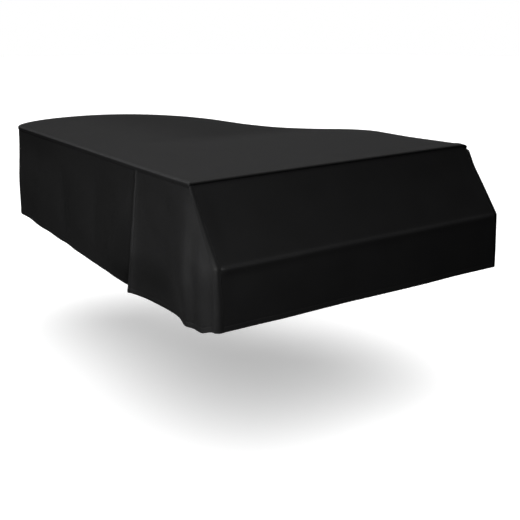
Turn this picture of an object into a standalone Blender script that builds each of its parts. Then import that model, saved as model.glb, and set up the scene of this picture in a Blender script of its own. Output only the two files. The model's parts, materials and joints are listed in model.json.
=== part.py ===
"""Fitted cloth cover for a grand piano: five sewn pieces, as they hang on the instrument.

Frame: metres, +Z up, +Y towards the tail, +X towards the treble side. The origin lies on the
underside of the top panel, midway across, above the middle of the lid's broad front part. The
piano itself is left out, so the cover is hollow and open at the bottom.

Each piece is an open sheet, worked out from the sizes and short tables below, with a Solidify
modifier that gives it the thickness of the cloth.
"""

from math import atan2, cos, exp, hypot, pi, radians, sin, tan

import bmesh
import bpy
import numpy as np

# ---------------------------------------------------------------- driving sizes (metres)
LID_WIDTH = 1.50              # across the lid at its front edge
SPINE_LENGTH = 1.86           # straight bass side of the lid, from the front edge
FRONT_EDGE_Y = -0.75          # the lid's front edge; the origin lies this far behind it
CLOTH = 0.002                 # thickness of the cloth
SEAM_GAP = 0.0003             # between pieces that are sewn to each other

CREASE_RUN = 0.208            # how far the front slopes forward, from the lid's edge to the crease
CREASE_DROP = (0.277, 0.289)  # how far it falls to the crease, at the bass and the treble end
CREASE_RADIUS = 0.030         # the cloth bends softly over the arms
HEM_RUN = 0.215               # how far forward of the lid's edge the front hem hangs
HEM_DROP = (0.529, 0.537)     # how far down it hangs, at the bass and the treble end
FRONT_SAG = 0.005             # the slope sinks this much between the lid and the arms

SLIT_TOP = 0.440              # slit in the side, behind the lid's front edge, at the top
SLIT_HEM = 0.452              # the same at the hem, where the edge swings back a little
SLIT_LAP = 0.040              # how far the rear skirt runs on under the side flap
FLAP_EXTRA = 0.016            # the flap hangs this much lower than the front hem
FRONT_LAP = 0.010             # the flap's edge covers this much of the front panel
CORNER_FADE = 0.060           # near the front corner the flap's folds and longer hem die away
FRONT_EDGES = 0.060           # share of the front's width at each end that the seams hold flat

RIM_ROLL = 0.006              # radius of the rolled edge of the top panel
RIM_LIP = 0.008               # the rolled edge laps this far down over the other pieces
RIM_GAP = 0.0005              # between the rolled edge and the cloth under it

# The outline of the lid behind its straight spine. Each row is a station on it: how far it lies
# from the spine and behind the front edge, and which way the edge runs there (degrees,
# 90 towards the tail, 0 towards the treble side).
LID_STATIONS = (
    # name                across   behind   heading
    ("spine_end",          0.000,  SPINE_LENGTH, 90),
    ("tail_corner",        0.028,  1.945,    59),
    ("tail_bass_side",     0.190,  2.077,    27),
    ("tail_apex",          0.450,  2.128,     0),
    ("tail_treble_side",   0.700,  2.062,   -31),
    ("bentside_shoulder",  0.915,  1.842,   -59),
    ("bentside_flank",     1.030,  1.555,   -77),
    ("waist",              1.090,  1.222,   -74),
    ("waist_end",          1.165,  1.032,   -58),
    ("treble_approach",    1.310,  0.863,   -41),
    ("treble_corner",      1.440,  0.752,   -50),
    ("treble_side",        1.500,  0.600,   -90),
)

# How the long rear skirt hangs. Each row is a place along it, measured from the bass slit round
# the tail to the treble slit as a share of the way; between rows the values blend smoothly.
# wave: how far the soft upright folds push out, at half height; flare: how far the hem stands
# out from the lid; drop: how far down the hem hangs.
REAR_STATIONS = (
    # share    wave    flare   drop
    (0.000,   0.000,  0.044,  0.521),
    (0.045,   0.009,  0.038,  0.517),
    (0.085,  -0.004,  0.034,  0.512),
    (0.160,   0.010,  0.028,  0.504),
    (0.182,  -0.003,  0.027,  0.502),
    (0.262,   0.007,  0.023,  0.494),
    (0.330,   0.000,  0.021,  0.489),
    (0.390,   0.009,  0.027,  0.491),
    (0.440,  -0.003,  0.025,  0.493),
    (0.500,   0.008,  0.028,  0.492),
    (0.560,  -0.002,  0.026,  0.495),
    (0.625,   0.009,  0.029,  0.497),
    (0.690,  -0.001,  0.027,  0.496),
    (0.750,   0.008,  0.029,  0.499),
    (0.820,  -0.001,  0.030,  0.503),
    (0.890,   0.009,  0.034,  0.508),
    (0.945,  -0.001,  0.037,  0.513),
    (1.000,   0.000,  0.040,  0.517),
)

HEM_SWELL = 0.3      # the stitched hem is stiffer, so this share of each wave is left there
FLARE_GROWTH = 1.15  # the cloth leaves the lid slowly at first: a power of the depth
FOLD_GROWTH = 1.4    # the flaps' folds open out more slowly still
FLARE_REACH = 2.2    # the flare at a slit dies away this fast towards the front corner

# How each side flap hangs. The hem stands out at the slit and at the front corner; the folds are
# upright and grow towards the hem. at_top and at_hem: the fold's middle, behind the lid's front
# edge; width: from its middle to its foot; out: how far it pushes out at the hem.
FLAP_HEMS = {
    # side       at_slit  at_corner
    "left":     (0.056,   0.014),
    "right":    (0.050,   0.018),
}
FLAP_FOLDS = {
    "left": (
        # at_top   at_hem   width    out
        (-0.010,  -0.080,   0.060,   0.045),
        (0.110,    0.150,   0.110,  -0.010),
        (-0.150,  -0.150,   0.030,  -0.004),
    ),
    "right": (
        # at_top   at_hem   width    out
        (-0.010,  -0.070,   0.060,   0.028),
        (0.180,    0.200,   0.090,  -0.006),
        (0.060,    0.050,   0.050,   0.006),
    ),
}
CORNER_RADIUS = {"left": (0.012, 0.022), "right": (0.020, 0.014)}   # at the top and at the hem

# The front panel below the crease: upright waves, as a share of the width and in metres.
FRONT_WAVES = (
    # across   width    out
    (0.180,    0.090,   0.003),
    (0.420,    0.110,  -0.003),
    (0.660,    0.100,   0.003),
    (0.860,    0.070,  -0.002),
)

# How finely the curves and the sheets are divided.
CURVE_STEPS = 24
REAR_COLUMNS = 104
REAR_ROWS = 8
FRONT_COLUMNS = 22
FLAP_COLUMNS = 15
FLAP_CROWDING = 1.5           # the flap's columns crowd towards the front corner
CORNER_STEPS = 4
RIM_STEPS = 3
SLOPE_STEPS = 5
CREASE_STEPS = 4
DROP_STEPS = 5

# ---------------------------------------------------------------- worked out from those
HALF_WIDTH = LID_WIDTH / 2
UNDER_LAYER = CLOTH                          # outer face of the cloth that lies right on the lid
OVER_LAYER = 2 * CLOTH + SEAM_GAP            # outer face of the cloth that laps over it
SLOPE_ANGLE = atan2(sum(CREASE_DROP) / 2, CREASE_RUN)
RIM_INNER = RIM_ROLL - CLOTH                 # radius of the roll's inner face
TOP_EDGE = RIM_INNER + SEAM_GAP              # the hanging pieces start this far under the top
FREE_FROM = RIM_ROLL - CLOTH + RIM_LIP + RIM_GAP   # below this they hang free of the rolled edge
SPINE_TOP = np.array([-HALF_WIDTH, FRONT_EDGE_Y])


# ---------------------------------------------------------------- small helpers
def smooth(value):
    """Ease a share from 0 to 1, level at both ends."""
    value = min(max(value, 0.0), 1.0)
    return value * value * (3 - 2 * value)


def blend(start, end, share):
    """Point a share of the way from start to end."""
    return start + (end - start) * share


def table_at(rows, key):
    """Values of a table's other columns at a key of its first column, blended smoothly."""
    keys = [row[0] for row in rows]
    place = int(np.clip(np.searchsorted(keys, key) - 1, 0, len(rows) - 2))
    low, high = rows[place], rows[place + 1]
    share = smooth((key - low[0]) / (high[0] - low[0]))
    return [blend(a, b, share) for a, b in zip(low[1:], high[1:])]


def heading_vector(degrees):
    """Level unit vector of a heading."""
    return np.array([cos(radians(degrees)), sin(radians(degrees))])


def hermite(start, start_heading, end, end_heading, share):
    """Point on a smooth curve between two stations that leaves and arrives at given headings."""
    reach = hypot(*(end - start))
    s2, s3 = share ** 2, share ** 3
    return ((2 * s3 - 3 * s2 + 1) * start + (s3 - 2 * s2 + share) * reach * heading_vector(start_heading)
            + (3 * s2 - 2 * s3) * end + (s3 - s2) * reach * heading_vector(end_heading))


# ---------------------------------------------------------------- the lid's outline
def lid_edge():
    """The lid's edge from its bass front corner round the tail to its treble front corner."""
    stations = [(SPINE_TOP + np.array([across, behind]), heading)
                for _, across, behind, heading in LID_STATIONS]
    points = [SPINE_TOP]
    for (start, start_heading), (end, end_heading) in zip(stations, stations[1:]):
        for step in range(CURVE_STEPS):
            points.append(hermite(start, start_heading, end, end_heading, step / CURVE_STEPS))
    points.append(stations[-1][0])
    points.append(np.array([HALF_WIDTH, FRONT_EDGE_Y]))
    return np.array(points)


class LidEdge:
    """The lid's edge, read at any distance along it."""

    def __init__(self):
        self.points = lid_edge()
        steps = np.hypot(*np.diff(self.points, axis=0).T)
        self.distance = np.concatenate(([0.0], np.cumsum(steps)))
        self.length = self.distance[-1]

    def at(self, distance):
        """Point of the edge at a distance from its start."""
        return np.array([np.interp(distance, self.distance, self.points[:, axis]) for axis in (0, 1)])

    def outward(self, distance, reach=0.006):
        """Level direction away from the lid, square to its edge."""
        ahead = self.at(min(distance + reach, self.length)) - self.at(max(distance - reach, 0.0))
        return np.array([-ahead[1], ahead[0]]) / hypot(*ahead)


EDGE = LidEdge()


# ---------------------------------------------------------------- the front's section
def front_section(place, across):
    """Section of the front, from the lid's edge over the crease to the hem.

    place runs 0 to 1 down the slope, 1 to 2 round the crease and 2 to 3 down to the hem; across is
    0 at the bass end and 1 at the treble end. Returns how far forward and how far down the point
    lies, and the steepness of the cloth there as an angle.
    """
    crease = np.array([CREASE_RUN, blend(*CREASE_DROP, across)])
    hem = np.array([HEM_RUN, blend(*HEM_DROP, across)])
    slope_angle = atan2(crease[1], crease[0])
    drop_angle = atan2(hem[1] - crease[1], hem[0] - crease[0])
    tangent = CREASE_RADIUS * tan((drop_angle - slope_angle) / 2)
    slope_way = np.array([cos(slope_angle), sin(slope_angle)])
    drop_way = np.array([cos(drop_angle), sin(drop_angle)])
    if place <= 1:
        return *(slope_way * (hypot(*crease) - tangent) * place), slope_angle
    if place <= 2:
        angle = blend(slope_angle, drop_angle, place - 1)
        start = slope_way * (hypot(*crease) - tangent)
        bend = np.array([sin(angle) - sin(slope_angle), cos(slope_angle) - cos(angle)])
        return *(start + CREASE_RADIUS * bend), angle
    start = crease + drop_way * tangent
    return *blend(start, hem, place - 2), drop_angle


def front_places():
    """Rows of the front and of the flaps, close together round the crease."""
    slope_height = sin(SLOPE_ANGLE) * hypot(CREASE_RUN, CREASE_DROP[0])
    first, free = TOP_EDGE / slope_height, FREE_FROM / slope_height
    slope = [first] + [blend(free, 1.0, step / SLOPE_STEPS) for step in range(SLOPE_STEPS)]
    crease = [1 + step / CREASE_STEPS for step in range(CREASE_STEPS)]
    drop = [2 + step / DROP_STEPS for step in range(DROP_STEPS + 1)]
    return slope + crease + drop


def front_point(place, across, layer):
    """Y and Z of the front's cloth whose outer face lies a layer off the section."""
    forward, down, angle = front_section(place, across)
    y = FRONT_EDGE_Y - forward - layer * sin(angle)
    z = -down + layer * cos(angle)
    return y, z


# ---------------------------------------------------------------- how the side flaps hang
def flap_out(side, behind, down):
    """How far a side flap stands out from the lid, at a place behind the lid's front edge."""
    share = max(down - FREE_FROM, 0.0) / (HEM_DROP[0] - FREE_FROM)
    at_slit, at_corner = FLAP_HEMS[side]
    from_corner = (behind + HEM_RUN) / (SLIT_HEM + HEM_RUN)
    flare = blend(at_corner, at_slit, max(from_corner, 0.0) ** FLARE_REACH) * share ** FLARE_GROWTH
    folds = 0.0
    for at_top, at_hem, width, out in FLAP_FOLDS[side]:
        middle = blend(at_top, at_hem, share)
        folds += out * share ** FOLD_GROWTH * exp(-((behind - middle) / width) ** 2)
    return flare + folds * smooth((behind + CREASE_RUN) / CORNER_FADE)


def corner_at(side, place):
    """Where a flap turns round the front corner: its outer face across, its Y, its radius."""
    across = 0.0 if side == "left" else 1.0
    y_front, _ = front_point(place, across, OVER_LAYER)
    _, down, _ = front_section(place, across)
    radius = blend(*CORNER_RADIUS[side], down / HEM_DROP[0])
    y_turn = y_front + radius
    x_side = HALF_WIDTH + OVER_LAYER + flap_out(side, y_turn - FRONT_EDGE_Y, down)
    return x_side, y_turn, radius


def flap_point(side, place, column):
    """Outer face of a side flap; columns run from the slit to the corner, round it, and on."""
    across = 0.0 if side == "left" else 1.0
    _, down, _ = front_section(place, across)
    _, z_front = front_point(place, across, OVER_LAYER)
    x_corner, y_turn, radius = corner_at(side, place)
    y_slit = FRONT_EDGE_Y + blend(SLIT_TOP, SLIT_HEM, down / HEM_DROP[0])
    if column <= FLAP_COLUMNS:
        share = 1 - (1 - column / FLAP_COLUMNS) ** FLAP_CROWDING
        y = blend(y_slit, y_turn, share)
        longer = FLAP_EXTRA * smooth((y - y_turn) / CORNER_FADE) * smooth(down / HEM_DROP[0])
        x = HALF_WIDTH + OVER_LAYER + flap_out(side, y - FRONT_EDGE_Y, down)
        return x, y, -down - longer
    turn = min((column - FLAP_COLUMNS) / CORNER_STEPS, 1.0) * pi / 2
    past = FRONT_LAP if column > FLAP_COLUMNS + CORNER_STEPS else 0.0
    x = x_corner - radius + radius * cos(turn) - past
    y = y_turn - radius * sin(turn)
    return x, y, blend(-down, z_front, sin(turn) ** 2)


# ---------------------------------------------------------------- objects
def clear_scene():
    for thing in list(bpy.data.objects):
        bpy.data.objects.remove(thing, do_unlink=True)


def cloth_material(name, shade, roughness):
    material = bpy.data.materials.new(name)
    material.use_nodes = True
    shader = material.node_tree.nodes["Principled BSDF"]
    shader.inputs["Base Color"].default_value = (shade, shade, shade * 1.03, 1.0)
    shader.inputs["Roughness"].default_value = roughness
    shader.inputs["Metallic"].default_value = 0.0
    return material


def add_sheet(name, mesh_builder, material, collection):
    """Make a named object from a bmesh of the sheet's outer face, with the cloth's thickness."""
    mesh = bpy.data.meshes.new(name)
    mesh_builder.to_mesh(mesh)
    mesh_builder.free()
    mesh.shade_smooth()
    mesh.materials.append(material)
    sheet = bpy.data.objects.new(name, mesh)
    collection.objects.link(sheet)
    solidify = sheet.modifiers.new("cloth", "SOLIDIFY")
    solidify.thickness = CLOTH
    solidify.offset = -1.0
    solidify.use_even_offset = True
    return sheet


def mapped_grid(columns, rows, place_vertex, flip):
    """A grid primitive whose vertices are moved to place_vertex(column, row)."""
    grid = bmesh.new()
    bmesh.ops.create_grid(grid, x_segments=columns, y_segments=rows, size=0.5)
    for vertex in grid.verts:
        column = round((vertex.co.x + 0.5) * columns)
        row = round((vertex.co.y + 0.5) * rows)
        vertex.co = place_vertex(column, row)
    if flip:
        bmesh.ops.reverse_faces(grid, faces=grid.faces)
    return grid


def make_rear_skirt(collection, material):
    start, end = rear_distance(0), rear_distance(REAR_COLUMNS)

    def place_vertex(column, row):
        distance = rear_distance(column)
        wave, flare, drop = table_at(REAR_STATIONS, column / REAR_COLUMNS)
        lap = min(distance - start, end - distance) / SLIT_LAP
        depth = max(row - 1, 0) / (REAR_ROWS - 1)
        z = -blend(FREE_FROM, drop, depth) if row else -TOP_EDGE
        swell = smooth(depth / 0.5) * blend(1.0, HEM_SWELL, smooth((depth - 0.5) / 0.5))
        layer = blend(UNDER_LAYER, OVER_LAYER, smooth(lap - 1.2))
        out = layer + flare * depth ** FLARE_GROWTH + wave * swell * smooth(lap - 0.8)
        x, y = EDGE.at(distance) + EDGE.outward(distance) * out
        return x, y, z

    grid = mapped_grid(REAR_COLUMNS, REAR_ROWS, place_vertex, flip=False)
    return add_sheet("rear_skirt", grid, material, collection)


def make_side_flap(side, collection, material):
    places = front_places()
    mirror = -1 if side == "left" else 1
    columns = FLAP_COLUMNS + CORNER_STEPS + 1

    def place_vertex(column, row):
        x, y, z = flap_point(side, places[row], column)
        return mirror * x, y, z

    grid = mapped_grid(columns, len(places) - 1, place_vertex, flip=side == "left")
    return add_sheet(side + "_side_flap", grid, material, collection)


def make_front_panel(collection, material):
    places = front_places()

    def place_vertex(column, row):
        place = places[row]
        across = column / FRONT_COLUMNS
        left, _, left_radius = corner_at("left", place)
        right, _, right_radius = corner_at("right", place)
        x = blend(-left + left_radius, right - right_radius, across)
        x += blend(CLOTH / 2, -CLOTH / 2, across)
        y, z = front_point(place, across, UNDER_LAYER)
        free = smooth(across / FRONT_EDGES) * smooth((1 - across) / FRONT_EDGES)
        sag = FRONT_SAG * sin(pi * min(place, 1.0)) * free
        wave = sum(out * exp(-((across - middle) / width) ** 2) for middle, width, out in FRONT_WAVES)
        wave *= smooth((place - 1) / 2) * free
        return x, y + sag * sin(SLOPE_ANGLE) - wave, z - sag * cos(SLOPE_ANGLE)

    grid = mapped_grid(FRONT_COLUMNS, len(places) - 1, place_vertex, flip=True)
    return add_sheet("front_panel", grid, material, collection)


def rear_distance(column):
    """Distance along the lid's edge of a column of the rear skirt."""
    start = SLIT_TOP - SLIT_LAP
    return blend(start, EDGE.length - start, column / REAR_COLUMNS)


def top_outline():
    """Edge of the top panel's flat part, anticlockwise from above.

    Each row is a point, the level direction away from the lid there, and how much the rim leans
    forward below it, which is 1 at the front and round its corners and 0 elsewhere. Along the
    rear skirt the points stand over its columns, so that the two sheets stay an even gap apart.
    """
    side_offset = OVER_LAYER + RIM_GAP - RIM_INNER
    front_offset = (side_offset + RIM_INNER * cos(SLOPE_ANGLE)) / sin(SLOPE_ANGLE)

    def corner(sign, radius, step):
        turn = step / CORNER_STEPS * pi / 2
        normal = np.array([sign * sin(turn), -cos(turn)])
        centre = np.array([sign * (HALF_WIDTH + side_offset - radius), FRONT_EDGE_Y - front_offset + radius])
        return centre + radius * normal, normal, 1.0

    radii = [CORNER_RADIUS[side][0] + RIM_GAP - RIM_INNER for side in ("right", "left")]
    ring = [corner(1, radii[0], step) for step in range(CORNER_STEPS + 1)]
    for column in range(REAR_COLUMNS, -1, -1):
        distance = rear_distance(column)
        normal = EDGE.outward(distance)
        ring.append((EDGE.at(distance) + normal * side_offset, normal, 0.0))
    ring += [corner(-1, radii[1], step) for step in range(CORNER_STEPS, -1, -1)]
    return ring


def make_top_panel(collection, material):
    ring = top_outline()
    panel = bmesh.new()
    loops = [[panel.verts.new((x, y, CLOTH)) for (x, y), _, _ in ring]]
    panel.faces.new(loops[0])
    for step in range(1, RIM_STEPS + 2):
        loop = []
        for point, normal, lean in ring:
            end_angle = atan2(sin(SLOPE_ANGLE), cos(SLOPE_ANGLE) * lean * max(-normal[1], 0.0))
            angle = end_angle * min(step / RIM_STEPS, 1.0)
            x, y = point + normal * RIM_ROLL * sin(angle)
            z = CLOTH - RIM_ROLL * (1 - cos(angle))
            if step > RIM_STEPS:
                y -= RIM_LIP * cos(SLOPE_ANGLE) * lean
                z -= RIM_LIP * sin(end_angle)
            loop.append(panel.verts.new((x, y, z)))
        loops.append(loop)
    for upper, lower in zip(loops, loops[1:]):
        for place in range(len(ring)):
            after = (place + 1) % len(ring)
            panel.faces.new((upper[place], lower[place], lower[after], upper[after]))
    return add_sheet("top_panel", panel, material, collection)


def build():
    clear_scene()
    collection = bpy.data.collections.new("grand_piano_cover")
    bpy.context.scene.collection.children.link(collection)
    make_top_panel(collection, cloth_material("top_cloth", 0.022, 0.80))
    make_rear_skirt(collection, cloth_material("skirt_cloth", 0.015, 0.85))
    make_front_panel(collection, cloth_material("front_cloth", 0.012, 0.85))
    for side in ("left", "right"):
        make_side_flap(side, collection, cloth_material(side + "_flap_cloth", 0.016, 0.85))


build()
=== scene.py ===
# %% [markdown]
# # A fitted cloth cover for a grand piano
#
# The real cover is five cut pieces of black cloth, sewn together: a flat top, a long skirt
# that hangs round the tail, a front that falls over the keyboard, and a flap on each side of
# it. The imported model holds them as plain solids. This notebook dresses each solid in a finer
# sheet of cloth, in the same place, with its soft folds, hems, stitches and weave.

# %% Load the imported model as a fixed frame
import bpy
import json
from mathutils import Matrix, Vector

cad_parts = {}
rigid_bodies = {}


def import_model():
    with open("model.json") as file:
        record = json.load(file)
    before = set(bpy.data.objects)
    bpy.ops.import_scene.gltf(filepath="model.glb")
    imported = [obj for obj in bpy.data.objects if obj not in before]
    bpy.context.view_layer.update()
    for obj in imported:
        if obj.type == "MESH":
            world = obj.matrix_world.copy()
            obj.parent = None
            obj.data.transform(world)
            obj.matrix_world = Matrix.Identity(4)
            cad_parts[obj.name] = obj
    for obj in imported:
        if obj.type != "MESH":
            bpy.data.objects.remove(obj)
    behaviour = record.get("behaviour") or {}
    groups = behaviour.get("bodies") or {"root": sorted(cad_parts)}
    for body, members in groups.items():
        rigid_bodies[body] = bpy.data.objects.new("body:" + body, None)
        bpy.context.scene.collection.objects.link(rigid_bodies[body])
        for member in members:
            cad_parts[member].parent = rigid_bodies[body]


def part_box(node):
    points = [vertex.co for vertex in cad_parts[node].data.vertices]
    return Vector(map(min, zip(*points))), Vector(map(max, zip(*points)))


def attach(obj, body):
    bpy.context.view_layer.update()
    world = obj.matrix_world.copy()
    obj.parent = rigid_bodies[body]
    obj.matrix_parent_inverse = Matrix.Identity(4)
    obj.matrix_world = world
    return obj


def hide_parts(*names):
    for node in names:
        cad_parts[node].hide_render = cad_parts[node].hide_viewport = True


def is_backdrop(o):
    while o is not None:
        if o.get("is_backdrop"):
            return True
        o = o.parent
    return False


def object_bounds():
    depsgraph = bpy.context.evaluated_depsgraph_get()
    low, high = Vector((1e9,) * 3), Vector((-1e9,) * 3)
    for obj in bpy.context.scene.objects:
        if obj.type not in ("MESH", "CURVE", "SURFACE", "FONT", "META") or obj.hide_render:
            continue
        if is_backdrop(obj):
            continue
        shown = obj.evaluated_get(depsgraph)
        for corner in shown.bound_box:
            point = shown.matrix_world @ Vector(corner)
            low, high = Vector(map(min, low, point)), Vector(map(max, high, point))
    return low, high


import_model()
cad_low, cad_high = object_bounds()

# %% The modules used below
import json

import bpy
import numpy as np
from mathutils import Matrix, Vector

# %% [markdown]
# ## Sizes that all the pieces share
#
# Everything is in metres. The frame's own boxes give the width of the lid and the place of the
# rolled front edge, so a change in the solids carries over. The rest are the thickness of the
# cloth, the layers in which the pieces lap each other, and the section of the front.

# %% Sizes from the frame, and the layers of the cloth
CLOTH = 0.002                  # thickness of one layer
SEAM_GAP = 0.0003              # between layers that are sewn together
RIM_ROLL = 0.006               # radius of the rolled edge of the top
RIM_GAP = 0.0005               # between the rolled edge and the cloth under it
RIM_LIP = 0.008                # how far the rolled edge runs on down the sides
UNDER_LAYER = CLOTH
OVER_LAYER = 2 * CLOTH + SEAM_GAP
RIM_SHIFT = OVER_LAYER + RIM_GAP + CLOTH - RIM_ROLL   # from the lid's edge to where the roll starts
TOP_EDGE = RIM_ROLL - CLOTH + SEAM_GAP                # the hanging pieces start this far down
FREE_FROM = RIM_ROLL - CLOTH + RIM_LIP + RIM_GAP      # and hang free from here

top_low, top_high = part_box("top_panel")
HALF_WIDTH = top_high.x - RIM_ROLL - RIM_SHIFT
FRONT_EDGE_Y = -0.75           # the front edge of the lid, in the frame
print(f"lid {2 * HALF_WIDTH:.3f} m wide, rolled edge {top_high.x - HALF_WIDTH:.4f} m outside it")

# %% [markdown]
# ## A few small curves
#
# Cloth has no corners in its tone: it eases from one slope into the next. A few little
# functions do nearly all the shaping. They take whole arrays, so a sheet with tens of
# thousands of points is worked out in a few lines and without a loop.

# %% Ease, rise, fade, mix and bell
def ease(share):
    """Three times the square less twice the cube of a share held between 0 and 1."""
    share = np.clip(share, 0.0, 1.0)
    return share ** 2 * (3.0 - 2.0 * share)


def rise(value, run, start=0.0):
    """Eases up from 0 where the value is start to 1 where it is a run beyond it."""
    return ease((value - start) / run)


def fade(value, run):
    """Eases down from 1 where the value is 0 to 0 where it is a run."""
    return ease(1 - value / run)


def mix(start, end, share):
    """The start plus a share of the way to the end."""
    return start + (end - start) * share


def bell(place, middle, width):
    """e to the power of minus the square of the distance from the middle, counted in widths."""
    return np.exp(-((place - middle) / width) ** 2)


def eased_column(keys, column, place):
    """Between two rows of a table the value eases from the one to the other."""
    row = np.clip(np.searchsorted(keys, place) - 1, 0, len(keys) - 2)
    share = ease((place - keys[row]) / (keys[row + 1] - keys[row]))
    return mix(column[row], column[row + 1], share)


# %% [markdown]
# Cloth that hangs is never quite even. A sum of a few long sine waves, each with its own
# direction and phase, gives soft hills and hollows. Noise from a texture would do as well, but
# sines are smooth everywhere, and a seeded generator gives the same ones on every run.

# %% Soft unevenness
WAVE_STRETCH = (0.6, 1.7)      # each wave is this many times as long as asked for


def uneven(across, along, wave, seed, count=9):
    """A sum of plane sine waves near one wavelength, divided by the square root of their count."""
    dice = np.random.default_rng(seed)
    total = 0.0
    shortest, longest = WAVE_STRETCH
    waves = dice.uniform((0, 0, shortest), (np.pi, 2 * np.pi, longest), (count, 3))
    for turn, phase, stretch in waves:
        way = across * np.cos(turn) + along * np.sin(turn)
        total = total + np.sin(2 * np.pi * way / (wave * stretch) + phase)
    return total / np.sqrt(count)


# %% [markdown]
# ## The camera
#
# The cover is seen from the keyboard end, a little above the lid and well to the bass side.
# The camera is set by its place, by the way it faces (its yaw from +Y towards +X), and by how
# far it looks down. A rotation matrix made from those three needs no target object.

# %% Place the camera
CAMERA_PLACE = (-2.2831, -3.4678, 0.6476)
CAMERA_YAW = 34.342             # degrees
CAMERA_DOWN = 16.914
CAMERA_ROLL = -0.081
CAMERA_LENS = 58.30             # millimetres, on a sensor 36 mm wide

camera_data = bpy.data.cameras.new("camera")
camera_data.lens = CAMERA_LENS
camera_data.sensor_width = 36.0
camera_data.clip_end = 200.0
camera = bpy.data.objects.new("camera", camera_data)
bpy.context.scene.collection.objects.link(camera)
camera.matrix_world = (
    Matrix.Translation(CAMERA_PLACE)
    @ Matrix.Rotation(np.radians(-CAMERA_YAW), 4, "Z")
    @ Matrix.Rotation(np.radians(90 - CAMERA_DOWN), 4, "X")
    @ Matrix.Rotation(np.radians(CAMERA_ROLL), 4, "Z")
)
bpy.context.scene.camera = camera
print("camera at", tuple(round(value, 3) for value in camera.matrix_world.translation))

# %% [markdown]
# ## From a grid of points to a closed sheet
#
# A sheet of cloth is one grid of points for its outer face. Blender's Solidify modifier could
# give it a thickness, but a hem is thicker than the rest and its edge is a fold, not a cut. So
# the inner face is worked out here, each point set back along its normal by its own thickness,
# and a row of points half way between the faces rounds every edge off.

# %% Normals of a grid
def grid_normals(points, ring):
    """The step along a row crossed with the step down a column, brought to unit length."""
    if ring:
        along = np.roll(points, -1, axis=1) - np.roll(points, 1, axis=1)
    else:
        along = np.gradient(points, axis=1)
    normals = np.cross(along, np.gradient(points, axis=0))
    return normals / np.linalg.norm(normals, axis=2, keepdims=True)


def unit(vectors):
    """Each vector divided by its length."""
    return vectors / np.linalg.norm(vectors, axis=-1, keepdims=True)


def grid_lengths(points):
    """Metres of cloth along and down to each point: the running sums of the grid's steps."""
    steps = np.linalg.norm(np.diff(points, axis=1), axis=2).mean(axis=0)
    along = np.broadcast_to(np.concatenate(([0.0], np.cumsum(steps))), points.shape[:2])
    drops = np.linalg.norm(np.diff(points, axis=0), axis=2)
    down = np.vstack((np.zeros(points.shape[1]), np.cumsum(drops, axis=0)))
    return np.stack((along, down), axis=2)


# %% Faces of a grid, and the rounded edge between its two faces
def grid_quads(numbers):
    """Four neighbours in turn, so that the face points the way of the grid's normal."""
    return np.stack((numbers[:-1, :-1], numbers[:-1, 1:], numbers[1:, 1:], numbers[1:, :-1]), axis=2)


def edge_walk(numbers):
    """The grid's outer points in the order in which its faces pass them."""
    return np.concatenate((numbers[0, :-1], numbers[:-1, -1], numbers[-1, :0:-1], numbers[:0:-1, 0]))


def outward_at_edge(points):
    """At an edge, the step from the row inside it; at a corner, the sum of both steps."""
    out = np.zeros_like(points)
    out[0] += unit(points[0] - points[1])
    out[-1] += unit(points[-1] - points[-2])
    out[:, 0] += unit(points[:, 0] - points[:, 1])
    out[:, -1] += unit(points[:, -1] - points[:, -2])
    return out


# %% [markdown]
# The top is a ring of columns that closes on itself and runs in to one point in the middle, and
# the other pieces are open grids. One function makes both. It stores where each point lies on
# the flat cloth as the UV map, in metres, so that the weave keeps its true size, and as one
# attribute how worn each point is and how much light or shade is painted on it.

# %% Make a closed sheet from its outer face
def sew_sheet(name, outer, thickness, flat, worn, middle=None):
    """The inner face is the outer one less its normal times the thickness; edges are half round."""
    ring = middle is not None
    count = outer.shape[0] * outer.shape[1]
    normals = grid_normals(outer, ring)
    thickness = np.broadcast_to(thickness, outer.shape[:2])[:, :, None]
    inner = outer - normals * thickness
    numbers = np.arange(count).reshape(outer.shape[:2])
    if ring:
        wrapped = np.hstack((numbers, numbers[:, :1]))
        walk = numbers[-1, ::-1]
        beyond = unit(outer[-1] - outer[-2])[::-1]
    else:
        wrapped = numbers
        walk = edge_walk(numbers)
        beyond = unit(outward_at_edge(outer).reshape(-1, 3)[walk])
    quads = grid_quads(wrapped).reshape(-1, 4)
    pick = [array.reshape(count, -1)[walk] for array in (outer, inner, thickness, flat, worn)]
    nose = (pick[0] + pick[1] + beyond * pick[2]) / 2
    fold = 2 * count + np.arange(len(walk))
    after, fold_after = np.roll(walk, -1), np.roll(fold, -1)
    rounded = [np.stack((after, walk, fold, fold_after), axis=1),
               np.stack((fold_after, fold, walk + count, after + count), axis=1)]
    points = [outer.reshape(-1, 3), inner.reshape(-1, 3), nose]
    flats = [flat.reshape(-1, 2)] * 2 + [pick[3]]
    wear_and_painting = [np.ravel(worn)] * 2 + [pick[4][:, 0]]
    fans = []
    if ring:
        start, end = wrapped[0, :-1], wrapped[0, 1:]
        hub = 2 * count + len(walk)
        fans = [np.stack((end, start, np.full_like(start, hub)), axis=1),
                np.stack((start + count, end + count, np.full_like(start, hub + 1)), axis=1)]
        points.append(np.array([middle, middle - np.array([0, 0, CLOTH])]))
        flats.append(np.array([middle[:2]] * 2))
        wear_and_painting.append(np.zeros(2))
    faces = np.vstack([quads, quads[:, ::-1] + count, *rounded]).tolist()
    faces += np.vstack(fans).tolist() if fans else []
    return mesh_piece(name, np.vstack(points), faces, np.vstack(flats), np.concatenate(wear_and_painting))


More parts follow.
